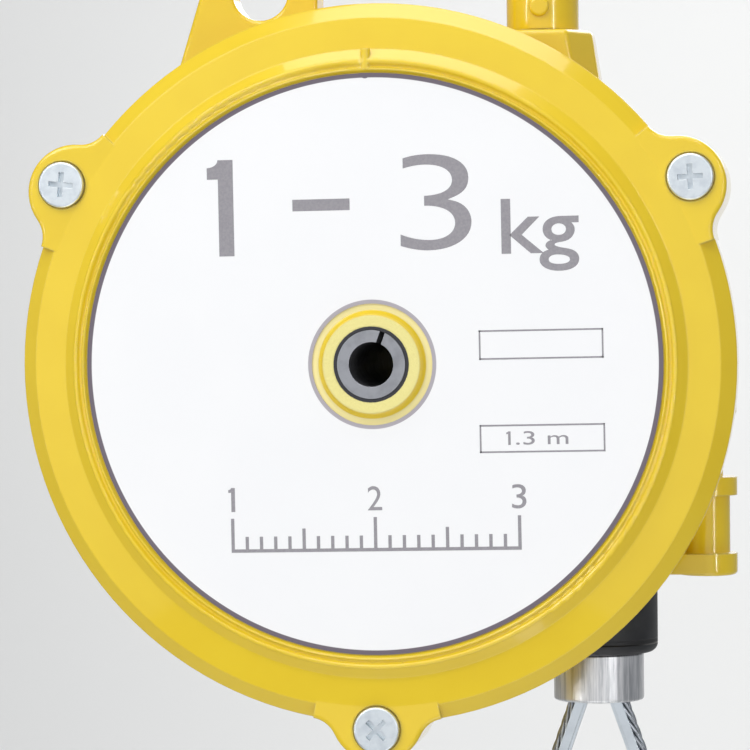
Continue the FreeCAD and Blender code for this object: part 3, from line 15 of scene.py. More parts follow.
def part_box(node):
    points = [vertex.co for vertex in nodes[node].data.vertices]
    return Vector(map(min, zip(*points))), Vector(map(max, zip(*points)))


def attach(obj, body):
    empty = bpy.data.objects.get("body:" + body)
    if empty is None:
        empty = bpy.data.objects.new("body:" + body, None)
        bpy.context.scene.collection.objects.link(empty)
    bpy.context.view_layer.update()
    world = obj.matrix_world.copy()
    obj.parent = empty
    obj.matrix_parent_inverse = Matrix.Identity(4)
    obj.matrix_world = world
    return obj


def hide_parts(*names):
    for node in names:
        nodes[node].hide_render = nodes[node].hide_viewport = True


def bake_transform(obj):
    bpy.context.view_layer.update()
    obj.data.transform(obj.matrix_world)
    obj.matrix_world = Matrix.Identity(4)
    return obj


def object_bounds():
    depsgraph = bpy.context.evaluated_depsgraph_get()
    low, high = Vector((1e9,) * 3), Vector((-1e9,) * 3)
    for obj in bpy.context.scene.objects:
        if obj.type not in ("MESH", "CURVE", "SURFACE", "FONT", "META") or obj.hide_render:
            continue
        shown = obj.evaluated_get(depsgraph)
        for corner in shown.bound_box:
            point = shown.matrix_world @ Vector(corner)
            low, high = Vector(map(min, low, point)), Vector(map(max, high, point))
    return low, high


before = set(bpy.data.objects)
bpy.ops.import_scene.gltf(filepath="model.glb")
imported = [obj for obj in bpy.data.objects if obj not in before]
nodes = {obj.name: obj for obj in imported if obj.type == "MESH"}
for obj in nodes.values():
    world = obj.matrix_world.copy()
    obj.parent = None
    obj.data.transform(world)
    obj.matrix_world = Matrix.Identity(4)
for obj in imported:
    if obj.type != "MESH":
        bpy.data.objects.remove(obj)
cad_box = [list(corner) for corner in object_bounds()]
MM = 0.001
print("parts loaded:", len(nodes))

# %% [markdown]
# ## Places on the balancer
# A few places are used again and again: the axis of the drum shaft, the face of the rating plate
# and the line that the rope hangs on. They could be typed in as numbers, but then they would be
# wrong as soon as a part changes. So they are read from the boxes of the parts themselves.

# %% Read the places from the parts
def low(node):
    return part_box(node)[0]


def high(node):
    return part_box(node)[1]


def middle(node):
    return (low(node) + high(node)) / 2


shaft_axis = middle("rating_label")
plate_y = low("rating_label").y
plate_r = (high("rating_label").x - low("rating_label").x) / 2
plate_hole_r = min(math.hypot(vertex.co.x - shaft_axis.x, vertex.co.z - shaft_axis.z)
                   for vertex in nodes["rating_label"].data.vertices)
rope_axis = middle("rope_tail")
print("shaft axis at", [round(part / MM, 1) for part in shaft_axis], "mm")
print("plate radius", round(plate_r / MM, 1), "mm")

# %% [markdown]
# ## The camera
# The view is nearly square to the plate, a little from the right and a little from above. A long
# lens from a short distance could give the same framing with stronger perspective. This one
# stands three quarters of a metre away, which is how such a thing is looked at on a bench.

# %% Place the camera
VIEW_AZIMUTH = math.radians(8.3)
VIEW_ELEVATION = math.radians(1.2)
VIEW_ROLL = math.radians(-0.5)
VIEW_DISTANCE = 0.75
LENS_MM = 174.1
AIM_RIGHT = 0.6 * MM
AIM_DOWN = 2.2 * MM
aim = Vector((shaft_axis.x + AIM_RIGHT, plate_y, shaft_axis.z - AIM_DOWN))
towards = Vector((math.sin(VIEW_AZIMUTH) * math.cos(VIEW_ELEVATION),
                  -math.cos(VIEW_AZIMUTH) * math.cos(VIEW_ELEVATION), math.sin(VIEW_ELEVATION)))
camera_data = bpy.data.cameras.new("camera")
camera_data.lens = LENS_MM
camera_data.clip_start = 0.01
camera = bpy.data.objects.new("camera", camera_data)
bpy.context.scene.collection.objects.link(camera)
facing = towards.to_track_quat("Z", "Y").to_matrix().to_4x4()
roll = Matrix.Rotation(VIEW_ROLL, 4, "Z")
camera.matrix_world = Matrix.Translation(aim + towards * VIEW_DISTANCE) @ facing @ roll
bpy.context.scene.camera = camera
print("camera stands", VIEW_DISTANCE, "m from the plate")

# %% [markdown]
# ## Writing a finish as a sum
# A material in Blender is a web of nodes. It could be wired by hand in the editor, but a web is
# hard to read. Here one small class wraps a socket, so that `1 - mask` or `noise * 0.2` adds the
# Math node that does it. A second class makes every other node in one way: its type, then its
# settings, then what goes into its sockets.

# %% Sockets that can be added and multiplied
class Signal:
    """A number that changes over a surface."""

    def __init__(self, finish, socket):
        self.finish = finish
        self.socket = socket

    def math(self, operation, *others):
        return self.finish.node("ShaderNodeMath", {"operation": operation}, self, *others)

    def math_after(self, operation, first):
        """The same sum with the other value in front, as in 1 - mask."""
        return self.finish.node("ShaderNodeMath", {"operation": operation}, first, self)

    def __add__(self, other):
        return self.math("ADD", other)

    def __sub__(self, other):
        return self.math("SUBTRACT", other)

    def __mul__(self, other):
        return self.math("MULTIPLY", other)

    def __truediv__(self, other):
        return self.math("DIVIDE", other)

    def __pow__(self, other):
        return self.math("POWER", other)

    def __rsub__(self, other):
        return self.math_after("SUBTRACT", other)

    def __rtruediv__(self, other):
        return self.math_after("DIVIDE", other)

    def __rpow__(self, other):
        return self.math_after("POWER", other)

    __radd__ = __add__
    __rmul__ = __mul__

    def step(self, start, end):
        """0 before start, 1 after end, and smooth between them."""
        settings = {"interpolation_type": "SMOOTHSTEP"}
        return self.finish.node("ShaderNodeMapRange", settings, self, start, end)

    def band(self, start, end, edge):
        """1 between start and end, with soft edges."""
        return self.step(start - edge, start) * (1 - self.step(end, end + edge))


# %% [markdown]
# ## Finishes
# Every finish starts as one Principled shader. What is the same all over, such as the gloss of a
# lacquer, is set on its own socket. What changes from place to place, such as grain or dirt, is
# linked in. The place on the part comes from object coordinates, which are metres in the frame
# of the whole balancer, so that a pattern has its true size on every part. Where a node gives
# several sockets the same name, they are picked by number, counted from 0.

# %% A class for finishes
BEVEL_SAMPLES = 4


class Finish:
    """A procedural material with short names for what it is made of."""

    def __init__(self, name, **constants):
        self.material = bpy.data.materials.new(name)
        self.material.use_nodes = True
        self.tree = self.material.node_tree
        self.shader = self.tree.nodes["Principled BSDF"]
        for socket, value in constants.items():
            self.shader.inputs[socket.replace("_", " ")].default_value = value

    def node(self, kind, settings, *values, output=0, **named):
        """Makes a node: its type, its settings, then the values or links of its sockets."""
        made = self.tree.nodes.new(kind)
        for key, value in settings.items():
            setattr(made, key, value)
        pairs = list(zip(made.inputs, values))
        pairs += [(made.inputs[key.replace("_", " ")], value) for key, value in named.items()]
        for socket, value in pairs:
            self.feed(socket, value)
        return Signal(self, made.outputs[output])

    def feed(self, socket, value):
        """Links a signal to a socket, or sets the socket to a plain value."""
        if isinstance(value, Signal):
            self.tree.links.new(value.socket, socket)
        else:
            socket.default_value = value

    def place(self):
        """Where a point of the surface is, in metres."""
        return self.node("ShaderNodeTexCoord", {}, output=3)

    def parts_of(self, vector):
        """X, Y and Z of a vector."""
        split = self.node("ShaderNodeSeparateXYZ", {}, vector)
        outputs = split.socket.node.outputs
        return [Signal(self, outputs[axis]) for axis in range(3)]

    def noise(self, size, detail=3, squash=(1, 1, 1), roughness=0.55):
        """Cloudy noise whose patches are about this size in metres."""
        scaled = self.node("ShaderNodeVectorMath", {"operation": "MULTIPLY"}, self.place(), squash)
        return self.node("ShaderNodeTexNoise", {}, scaled, Scale=1 / size, Detail=detail,
                         Roughness=roughness)

    def spots(self, size, spread):
        """0 in the middle of scattered dots, rising outwards."""
        return self.node("ShaderNodeTexVoronoi", {}, self.place(), Scale=1 / size,
                         Randomness=spread)

    def round_axis(self, centre):
        """Distance from the line through centre along Y."""
        x, _, z = self.parts_of(self.place())
        return ((x - centre.x) ** 2 + (z - centre.z) ** 2) ** 0.5

    def mix(self, share, first, second):
        """Colour between two colours."""
        made = self.node("ShaderNodeMix", {"data_type": "RGBA"}, share, output=2)
        for slot, value in ((6, first), (7, second)):
            colour = value if isinstance(value, Signal) else (*value, 1)
            self.feed(made.socket.node.inputs[slot], colour)
        return made

    def edges(self, radius):
        """1 on edges that are sharper than the radius, 0 on flat ground."""
        bevel = self.node("ShaderNodeBevel", {"samples": BEVEL_SAMPLES}, radius)
        flat = self.node("ShaderNodeNewGeometry", {}, output=1)
        settings = {"operation": "DOT_PRODUCT"}
        same = self.node("ShaderNodeVectorMath", settings, bevel, flat, output=1)
        return (1 - same).step(0.02, 0.25)

    def relief(self, height, depth, soft=0):
        """Small bumps of this depth in metres, on edges that are rounded by soft metres."""
        settings = {"Height": height, "Strength": 1.0, "Distance": depth}
        if soft:
            settings["Normal"] = self.node("ShaderNodeBevel", {"samples": BEVEL_SAMPLES}, soft)
        self.feed(self.shader.inputs["Normal"], self.node("ShaderNodeBump", {}, **settings))

    def finish(self, colour, roughness=None):
        """Links what varies over the surface and gives the material back."""
        self.feed(self.shader.inputs["Base Color"], colour)
        if roughness is not None:
            self.feed(self.shader.inputs["Roughness"], roughness)
        return self.material


# %% [markdown]
# ## Yellow enamel on die cast aluminium
# The casting is sprayed with a glossy stove enamel. Close up it is never quite flat: there is a
# faint orange peel, a slow swell from the casting below, and a few nibs of dust caught in the
# paint. It pulls back from edges, where it looks paler, and lies thicker and deeper in colour in
# hollows. The paler edges are also a painted highlight, standing in for the thin bright lines that
# lamps draw along rounded edges. A plain yellow with a gloss value would look like plastic, so
# each of these is mixed in.

# %% Yellow enamel
YELLOW = (0.83, 0.59, 0.014)
PALE_YELLOW = (0.92, 0.76, 0.17)
DEEP_YELLOW = (0.72, 0.46, 0.008)
SWELL_SIZE = 14 * MM
PEEL_SIZE = 2.2 * MM
PAINT_DEPTH = 0.08 * MM
PAINT_EDGE = 0.6 * MM


def spray(name, nib_spacing, nib_size):
    """A coat of enamel: its finish, colour, height and slow swell, to be added to."""
    paint = Finish(name, Coat_Weight=0.8, Coat_Roughness=0.05, IOR=1.5)
    swell = paint.noise(SWELL_SIZE, detail=2)
    peel = paint.noise(PEEL_SIZE, detail=1)
    nibs = 1 - paint.spots(nib_spacing, 1.0).step(0.010, nib_size)
    edge = paint.edges(0.7 * MM)
    colour = paint.mix(swell.step(0.35, 0.65), DEEP_YELLOW, YELLOW)
    colour = paint.mix(0.86, colour, YELLOW)
    # Edges are painted paler: partly the thinner paint there, partly a painted highlight along
    # rounded edges.
    colour = paint.mix(edge * 0.7, colour, PALE_YELLOW)
    colour = paint.mix(nibs * 0.6, colour, PALE_YELLOW)
    height = swell * 0.30 + peel * 0.04 + nibs * 0.6
    return paint, colour, height, swell


def make_enamel():
    paint, colour, height, swell = spray("yellow_enamel", 16 * MM, 0.035)
    paint.relief(height, PAINT_DEPTH, soft=PAINT_EDGE)
    return paint.finish(colour, roughness=0.20 + swell * 0.06)


enamel = make_enamel()
print("made", enamel.name)

# %% [markdown]
# ## The cover's hub
# Around the shaft the cover has a small raised ring, and its flat top is stippled from the mould:
# a dense field of tiny dimples. The stippled top and the floor round it are painted a paler
# yellow, as a painted reflection of the lamps in front. The cover could have a map painted by
# hand, but a ring between two radii is exact, so the enamel is sprayed again and two such rings
# are laid over it. The dimples are Voronoi cells.

# %% Enamel of the cover, with the stippled hub
HUB_STIPPLE_IN = 7.9 * MM
HUB_STIPPLE_OUT = 10.0 * MM
HUB_FLOOR_IN = 11.4 * MM
UNDER_PLATE = 0.4 * MM
HUB_REFLECTION_YELLOW = (0.84, 0.75, 0.27)
FLOOR_REFLECTION_YELLOW = (0.90, 0.79, 0.34)


def make_cover_enamel():
    paint, colour, height, swell = spray("cover_enamel", 19 * MM, 0.030)
    radius = paint.round_axis(shaft_axis)
    hub = radius.band(HUB_STIPPLE_IN, HUB_STIPPLE_OUT, 0.3 * MM)
    floor_reflection = radius.band(HUB_FLOOR_IN, plate_hole_r + UNDER_PLATE, 0.25 * MM)
    dimples = paint.spots(0.55 * MM, 0.8)
    # The hub and the floor round it are painted paler: a painted reflection of the lamps in front.
    colour = paint.mix(hub, colour, HUB_REFLECTION_YELLOW)
    colour = paint.mix(floor_reflection, colour, FLOOR_REFLECTION_YELLOW)
    paint.relief(height + hub * dimples * 1.2, PAINT_DEPTH, soft=PAINT_EDGE)
    return paint.finish(colour, roughness=0.20 + swell * 0.06 + hub * 0.3)


cover_enamel = make_cover_enamel()
print("made", cover_enamel.name)

# %% [markdown]
# ## The rating plate
# The plate is a thin white plastic film with a grey border along its rim and another round its
# hole. The borders could be rings of their own, but they are flush with the film, so they are
# painted by the distance from the shaft's axis.

# %% White film with its borders
BORDER_INK = (0.150, 0.125, 0.155)
HOLE_INK = (0.42, 0.39, 0.43)
WHITE_FILM = (0.90, 0.90, 0.905)
COOL_FILM = (0.86, 0.865, 0.88)
BORDER = 1.0 * MM
HOLE_BORDER = 0.75 * MM


def make_film():
    film = Finish("white_film", Coat_Weight=0.15, Coat_Roughness=0.25, IOR=1.46)
    radius = film.round_axis(shaft_axis)
    cloud = film.noise(24 * MM, detail=2)
    grain = film.noise(0.25 * MM, detail=1)
    border_in = plate_r - BORDER
    ring_out = plate_hole_r + HOLE_BORDER
    border = radius.step(border_in, border_in + 0.12 * MM)
    ring = 1 - radius.step(ring_out, ring_out + 0.1 * MM)
    colour = film.mix(cloud.step(0.3, 0.7) * 0.3, WHITE_FILM, COOL_FILM)
    colour = film.mix(border, colour, BORDER_INK)
    colour = film.mix(ring, colour, HOLE_INK)
    film.relief(grain * 0.3 + cloud * 2, 0.008 * MM)
    return film.finish(colour, roughness=0.38 + grain * 0.08)


film = make_film()
print("made", film.name)

# %% [markdown]
# ## Print
# The print is a screen printed grey ink with a little purple in it. It sits on the film as a very
# thin layer with a faint mottle, and it is a bit glossier than the film. One flat grey would do
# from afar; two greys that differ by the mottle keep it alive close up.

# %% Grey ink
INK = (0.285, 0.272, 0.295)
THIN_INK = (0.325, 0.312, 0.335)


def make_ink():
    ink = Finish("grey_ink", IOR=1.5)
    mottle = ink.noise(0.5 * MM, detail=3)
    ink.relief(mottle, 0.004 * MM)
    colour = ink.mix(mottle.step(0.3, 0.7), INK, THIN_INK)
    return ink.finish(colour, roughness=0.30 + mottle * 0.1)


ink = make_ink()
print("made", ink.name)

# %% [markdown]
# ## Bare metals
# Most of the bare metal parts are turned, cut, rolled or plated steel. They differ in colour, in
# how rough they are, and in the direction of their marks, so one function makes them all. Turned
# marks are noise that is squeezed along the part's axis, so that its patches become thin rings.

# %% Bare metals from one function
def make_metal(name, colour, dark, rough, size=3 * MM, marks=(1, 1, 1), fine=0.3 * MM,
               depth=0.01 * MM, dirt=0.3, edge_soft=0.15 * MM):
    """Metal with dark clouds of this size, fine marks and edges that are worn bright."""
    metal = Finish(name, Metallic=1.0)
    cloud = metal.noise(size, detail=3)
    scratch = metal.noise(fine, detail=2, squash=marks)
    worn = metal.edges(0.35 * MM)
    bright = tuple(min(1.0, part * 1.25) for part in colour)
    tone = metal.mix(cloud.step(0.35, 0.75) * dirt, colour, dark)
    tone = metal.mix(worn * 0.4, tone, bright)
    metal.relief(scratch + cloud * 0.5, depth, soft=edge_soft)
    return metal.finish(tone, roughness=rough + scratch * 0.16 + cloud * 0.08)


zinc = make_metal("bright_zinc", (0.84, 0.90, 0.94), (0.62, 0.68, 0.74), 0.30,
                  size=2 * MM, dirt=0.6)
turned_steel = make_metal("turned_steel", (0.42, 0.43, 0.46), (0.20, 0.20, 0.22), 0.30,
                          marks=(1, 6, 1), dirt=0.4)
bright_steel = make_metal("bright_steel", (0.76, 0.82, 0.87), (0.48, 0.52, 0.56), 0.20,
                          size=5 * MM)
spring_steel = make_metal("spring_steel", (0.25, 0.27, 0.32), (0.12, 0.11, 0.12), 0.28,
                          size=6 * MM)
case_iron = make_metal("machined_iron", (0.34, 0.34, 0.35), (0.16, 0.15, 0.14), 0.42,
                       size=4 * MM, depth=0.03 * MM)
cast_aluminium = make_metal("cast_aluminium", (0.62, 0.63, 0.65), (0.42, 0.43, 0.45), 0.36,
                            size=5 * MM, depth=0.03 * MM)
cut_brass = make_metal("cut_brass", (0.72, 0.52, 0.20), (0.45, 0.30, 0.10), 0.26,
                       marks=(1, 1, 6))
olive_zinc = make_metal("olive_zinc", (0.36, 0.34, 0.22), (0.16, 0.15, 0.09), 0.30,
                        size=4 * MM, dirt=0.6)
print("made the bare metals")

# %% [markdown]
# ## The ferrule
# The ferrule is turned from aluminium bar and pressed onto the rope. Its flank shows streaks along
# its axis where the press drew the metal, and rings from the lathe. Both are noise, stretched one
# way for the streaks and the other way for the rings.

# %% Pressed aluminium
DULL_STREAK = (0.58, 0.59, 0.61)
BRIGHT_STREAK = (0.97, 0.97, 0.98)


def make_ferrule_metal():
    metal = Finish("pressed_aluminium", Metallic=1.0)
    streaks = metal.noise(0.9 * MM, detail=4, squash=(1, 1, 0.05), roughness=0.7)
    rings = metal.noise(0.25 * MM, detail=2, squash=(0.02, 0.02, 1))
    colour = metal.mix(streaks.step(0.30, 0.62), DULL_STREAK, BRIGHT_STREAK)
    metal.relief(streaks * 1.2 + rings * 0.3, 0.012 * MM, soft=0.2 * MM)
    return metal.finish(colour, roughness=0.30 + streaks * 0.16)


ferrule_metal = make_ferrule_metal()
print("made", ferrule_metal.name)

# %% [markdown]
# ## Rubber, plastic and the black forging
# The buffer is moulded rubber: nearly black, dull, with a fine bloom and a shallow groove round
# its foot. The groove is too narrow to be a solid, so its shape is relief alone, and its colour is
# darkened there as painted shade. The bushes are a smooth dark plastic. The lower hook is a
# forging with a black oxide skin, coarse like orange peel, and worn to bare steel on its edges.
# None of them is pure black, because a black without any light in it shows no form.

# %% Black rubber
GROOVE_UP = 2.6 * MM
GROOVE_HALF = 0.3 * MM


def make_rubber():
    rubber = Finish("black_rubber", IOR=1.5)
    bloom = rubber.noise(5 * MM, detail=4)
    grain = rubber.noise(0.22 * MM, detail=2)
    worn = rubber.edges(0.6 * MM)
    height_here = rubber.parts_of(rubber.place())[2]
    groove_z = low("rubber_buffer").z + GROOVE_UP
    groove = height_here.band(groove_z - GROOVE_HALF, groove_z + GROOVE_HALF, 0.35 * MM)
    colour = rubber.mix(bloom.step(0.4, 0.8) * 0.5, (0.016, 0.017, 0.019), (0.045, 0.046, 0.050))
    colour = rubber.mix(worn * 0.3, colour, (0.09, 0.09, 0.095))
    # The groove is painted darker than the rubber round it: painted shade.
    colour = rubber.mix(groove * 0.6, colour, (0.006, 0.006, 0.007))
    rubber.relief(grain * 0.03 + bloom * 0.03 - groove, 0.5 * MM, soft=0.3 * MM)
    return rubber.finish(colour, roughness=0.42 + bloom * 0.2)


rubber = make_rubber()
print("made", rubber.name)


# %% Dark plastic and black forging
def make_plastic():
    plastic = Finish("black_plastic", IOR=1.5)
    grain = plastic.noise(0.4 * MM, detail=2)
    colour = plastic.mix(grain, (0.018, 0.018, 0.022), (0.040, 0.040, 0.048))
    plastic.relief(grain, 0.01 * MM, soft=0.15 * MM)
    return plastic.finish(colour, roughness=0.34 + grain * 0.15)


def make_forging():
    forging = Finish("black_forging", Metallic=0.75)
    scale = forging.noise(1.6 * MM, detail=5)
    patches = forging.noise(9 * MM, detail=3)
    worn = forging.edges(0.9 * MM)
    colour = forging.mix(patches.step(0.4, 0.7), (0.030, 0.029, 0.024), (0.075, 0.070, 0.052))
    colour = forging.mix(worn * 0.5, colour, (0.30, 0.29, 0.27))
    forging.relief(scale + patches * 0.6, 0.14 * MM, soft=0.4 * MM)
    return forging.finish(colour, roughness=0.42 + scale * 0.25)


plastic = make_plastic()
forging = make_forging()
print("made", plastic.name, "and", forging.name)

# %% [markdown]
# ## Who wears what
# Each solid part has one finish. A dictionary says which, so that the whole choice can be read at
# a glance. Assigning to the material slot changes the look and leaves the shape alone.

# %% Dress the solid parts
FINISHES = {
    enamel: ["rear_housing", "upper_hook", "hook_pin"],
    cover_enamel: ["front_cover"],
    film: ["rating_label"],
    zinc: ["cover_screws"],
    turned_steel: ["main_shaft", "spring_anchor", "worm_pin", "adjuster_shaft", "swivel_stem"],
    bright_steel: ["spring_case_lid", "lid_rivets", "thimble", "lower_latch_rivet", "stem_washer",
                   "upper_latch", "upper_latch_rivet"],
    spring_steel: ["adjuster_clip", "drum_set_screw", "main_spring", "lower_latch_spring",
                   "upper_latch_spring", "rope_windings", "rope_loop", "rope_tail"],
    case_iron: ["spring_case"],
    cast_aluminium: ["drum", "rope_anchor"],
    ferrule_metal: ["ferrule"],
    cut_brass: ["worm_gear"],
    rubber: ["rubber_buffer"],
    plastic: ["front_bush", "rear_bush", "rope_guide", "drum_front_washer", "drum_back_washer"],
    forging: ["lower_hook"],
    olive_zinc: ["lower_latch"],
}
for material, names in FINISHES.items():
    for name in names:
        nodes[name].data.materials.clear()
        nodes[name].data.materials.append(material)
dressed = sum(len(names) for names in FINISHES.values())
print("dressed", dressed, "of", len(nodes), "parts")

# %% [markdown]
# ## A skin over rings
# The rope's strands and the rope itself are long thin skins. Blender's curves could be given a
# round bevel, but a strand has wires of its own, so its section is not round. A skin over a list
# of rings of points can have any section, and it is a mesh from the start.

# %% Build a mesh from rings of points
RIGHT = Vector((1, 0, 0))
BACK = Vector((0, 1, 0))
UP = Vector((0, 0, 1))


def circle(centre, right, up, radius, count):
    """Points on a circle in the plane of two directions."""
    turns = [math.tau * step / count for step in range(count)]
    return [centre + (right * math.cos(turn) + up * math.sin(turn)) * radius for turn in turns]


def skin(name, rings):
    """A closed tube over rings that all have the same number of points."""
    count = len(rings[0])
    points = [point for ring in rings for point in ring]
    faces = []
    for row in range(len(rings) - 1):
        for step in range(count):
            after = (step + 1) % count
            faces.append((row * count + step, row * count + after,
                          (row + 1) * count + after, (row + 1) * count + step))
    faces.append(tuple(reversed(range(count))))
    faces.append(tuple(range(len(points) - count, len(points))))
    mesh = bpy.data.meshes.new(name)
    mesh.from_pydata(points, [], faces)
    mesh.polygons.foreach_set("use_smooth", [True] * len(mesh.polygons))
    return mesh


# %% Add a piece of its own
def add_piece(name, mesh, material, body):
    """Adds a mesh that rides on a body, or on none when no body is given."""
    piece = bpy.data.objects.new(name, mesh)
    bpy.context.scene.collection.objects.link(piece)
    piece.data.materials.append(material)
    if body:
        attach(piece, body)
    return piece


print("ready to make circles, skins and pieces")

# %% [markdown]
# ## The route of the rope's loop
# The rope comes out of the ferrule, goes round the thimble and back into the ferrule. Its line is
# two straight legs and a round bend. It could be drawn as a curve by hand, but the legs are
# tangents of the bend, so their slope fixes where they meet it and a few sums give every point.

# %% Walk along the loop
ROPE_R = 1.5 * MM
LOOP_R = 10.0 * MM
LEG_SLOPE = math.radians(19.5)
IN_FERRULE = 2 * MM
bend = Vector((rope_axis.x, rope_axis.y, low("thimble").z + LOOP_R))
leg_top = low("ferrule").z + IN_FERRULE


def loop_route(spacing):
    """Points along the loop from one leg's top to the other's, with their directions."""
    touch = bend + Vector((math.cos(LEG_SLOPE), 0, math.sin(LEG_SLOPE))) * LOOP_R
    along = Vector((-math.sin(LEG_SLOPE), 0, math.cos(LEG_SLOPE)))
    leg = (leg_top - touch.z) / along.z
    steps = int(leg / spacing)
    right = [(touch + along * leg * step / steps, along) for step in range(steps, 0, -1)]
    turn = math.pi + 2 * LEG_SLOPE
    steps = int(LOOP_R * turn / spacing)
    points = [(place, -way) for place, way in right]
    for step in range(steps + 1):
        angle = LEG_SLOPE - turn * step / steps
        outwards = Vector((math.cos(angle), 0, math.sin(angle)))
        points.append((bend + outwards * LOOP_R, Vector((outwards.z, 0, -outwards.x))))
    for place, way in reversed(right):
        mirrored = Vector((2 * bend.x - place.x, place.y, place.z))
        points.append((mirrored, Vector((-way.x, 0, way.z))))
    return points


route = loop_route(0.35 * MM)
print("loop route has", len(route), "points")

# %% [markdown]
# ## Strands
# A wire rope is six strands laid round a core, and each strand is itself seven wires. The six
# strands are modelled one by one as they wind round the route, and the section of each has one
# bump for each of its outer wires, turning the other way, as in a regular lay rope.

# %% One strand
STRANDS = 6
LAY = 19 * MM
STRAND_R = 0.5 * MM
WIRES = 6
WIRE_LAY = 6 * MM
SECTION = 24


def strand(number):
    """One of the six strands, with a bumpy section that turns against the lay."""
    rings = []
    travelled = 0.0
    before = route[0][0]
    for place, way in route:
        travelled += (place - before).length
        before = place
        outwards = way.cross(BACK).normalized()
        turn = math.tau * (travelled / LAY + number / STRANDS)
        centre = place + (outwards * math.cos(turn) + BACK * math.sin(turn)) * (ROPE_R - STRAND_R)
        ring = []
        for step in range(SECTION):
            angle = math.tau * step / SECTION
            bump = abs(math.sin(WIRES / 2 * (angle + math.tau * travelled / WIRE_LAY)))
            radius = STRAND_R * (0.84 + 0.16 * bump)
            ring.append(centre + (outwards * math.cos(angle) + BACK * math.sin(angle)) * radius)
        rings.append(ring)
    return skin("strand", rings)


print("a strand of", WIRES, "outer wires, laid once in", round(LAY / MM), "mm")

# %% Join the strands and lay them in the loop
def joined(name, meshes):
    """One mesh from several."""
    points = []
    faces = []
    for mesh in meshes:
        start = len(points)
        points += [vertex.co.copy() for vertex in mesh.vertices]
        faces += [tuple(start + index for index in polygon.vertices) for polygon in mesh.polygons]
    whole = bpy.data.meshes.new(name)
    whole.from_pydata(points, [], faces)
    whole.polygons.foreach_set("use_smooth", [True] * len(whole.polygons))
    return whole


wire = make_metal("galvanised_wire", (0.52, 0.55, 0.59), (0.22, 0.23, 0.25), 0.26,
                  size=1.2 * MM, dirt=0.7, edge_soft=0)
loop_mesh = joined("loop_strands", [strand(number) for number in range(STRANDS)])
loop_strands = add_piece("loop_strands", loop_mesh, wire, "rope_end")
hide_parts("rope_loop")
print("strands of the loop:", len(loop_mesh.polygons), "faces")

# %% [markdown]
# ## The rope that pays out
# When the tool is pulled down, 1.3 m of rope comes off the drum. One piece has to be short at
# rest and long when pulled; here it is drawn once, at rest, from the housing to the ferrule.
# Modelled strands would be drawn out into straight lines, so its lay is a pattern that is
# worked out from where each point of the surface is. The grooves between the strands are painted
# dark, as painted shade.

# %% A rope that stretches between housing and ferrule
def make_rope_pattern():
    rope = Finish("laid_rope", Metallic=1.0)
    x, y, z = rope.parts_of(rope.place())
    around = (y - rope_axis.y).math("ARCTAN2", x - rope_axis.x)
    turns = around / math.tau - z / LAY
    lobes = (turns * (STRANDS * math.pi)).math("SINE").math("ABSOLUTE")
    wire_turns = around / math.tau * 2 + z / (LAY * 0.4)
    wires = (wire_turns * (STRANDS * math.pi)).math("SINE").math("ABSOLUTE")
    # The grooves between the strands are painted dark: painted shade.
    colour = rope.mix(lobes.step(0.05, 0.75), (0.10, 0.105, 0.11), (0.52, 0.55, 0.59))
    rope.relief(lobes + wires * 0.2, 0.35 * MM)
    return rope.finish(colour, roughness=0.42 - lobes * 0.14)


laid_rope = make_rope_pattern()
print("made", laid_rope.name)

# %% Hang the rope
ROPE_RINGS = 120
rope_top = high("rope_tail").z
rope_foot = low("rope_tail").z
heights = [rope_top + (rope_foot - rope_top) * row / ROPE_RINGS for row in range(ROPE_RINGS + 1)]
rope_rings = [circle(Vector((rope_axis.x, rope_axis.y, height)), RIGHT, BACK, ROPE_R, SECTION)
              for height in heights]
rope_mesh = skin("paid_out_rope", rope_rings)
paid_out = add_piece("paid_out_rope", rope_mesh, laid_rope, None)
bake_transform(paid_out)
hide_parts("rope_tail")
print("rope from", round(rope_top, 4), "to", round(rope_foot, 4))

# %% [markdown]
# ## Print on the plate
# The plate says in plain figures what the balancer carries, from 1 to 3 kg, and how far its rope
# travels. Below them is a plain scale. Letters could be painted by a shader, but a text object
# turned into a thin mesh has crisp edges at any distance, like screen printed ink. Everything is
# drawn flat first, in millimetres from the middle of the plate, and laid on the plate at the end.

# %% Flat shapes
def flat_shape(name, outline):
    """One face from points in millimetres, counterclockwise, so that it faces the reader."""
    mesh = bpy.data.meshes.new(name)
    mesh.from_pydata([(x * MM, y * MM, 0) for x, y in outline], [], [tuple(range(len(outline)))])
    return mesh


def bar(left, foot, right, top):
    """A filled rectangle."""
    return flat_shape("bar", [(left, foot), (right, foot), (right, top), (left, top)])


def box_frame(left, foot, right, top, line):
    """Four thin bars round a box."""
    return [bar(left, foot, right, foot + line), bar(left, top - line, right, top),
            bar(left, foot, left + line, top), bar(right - line, foot, right, top)]


print("ready to draw bars and boxes")


# %% Figures and words
def figure_one(left, foot, right, top):
    """The figure 1 with a short hollow flag, because the font's own is a bare bar."""
    stem = 0.42
    quarter = [math.pi / 2 * step / 6 for step in range(7)]
    flag = [(stem * math.cos(turn), 1 - 0.08 * math.sin(turn)) for turn in quarter]
    outline = flag + [(0, 0.80), (stem, 0.80), (stem, 0), (1, 0), (1, 1)]
    return flat_shape("figure_one", [(left + x * (right - left), foot + y * (top - foot))
                                     for x, y in outline])


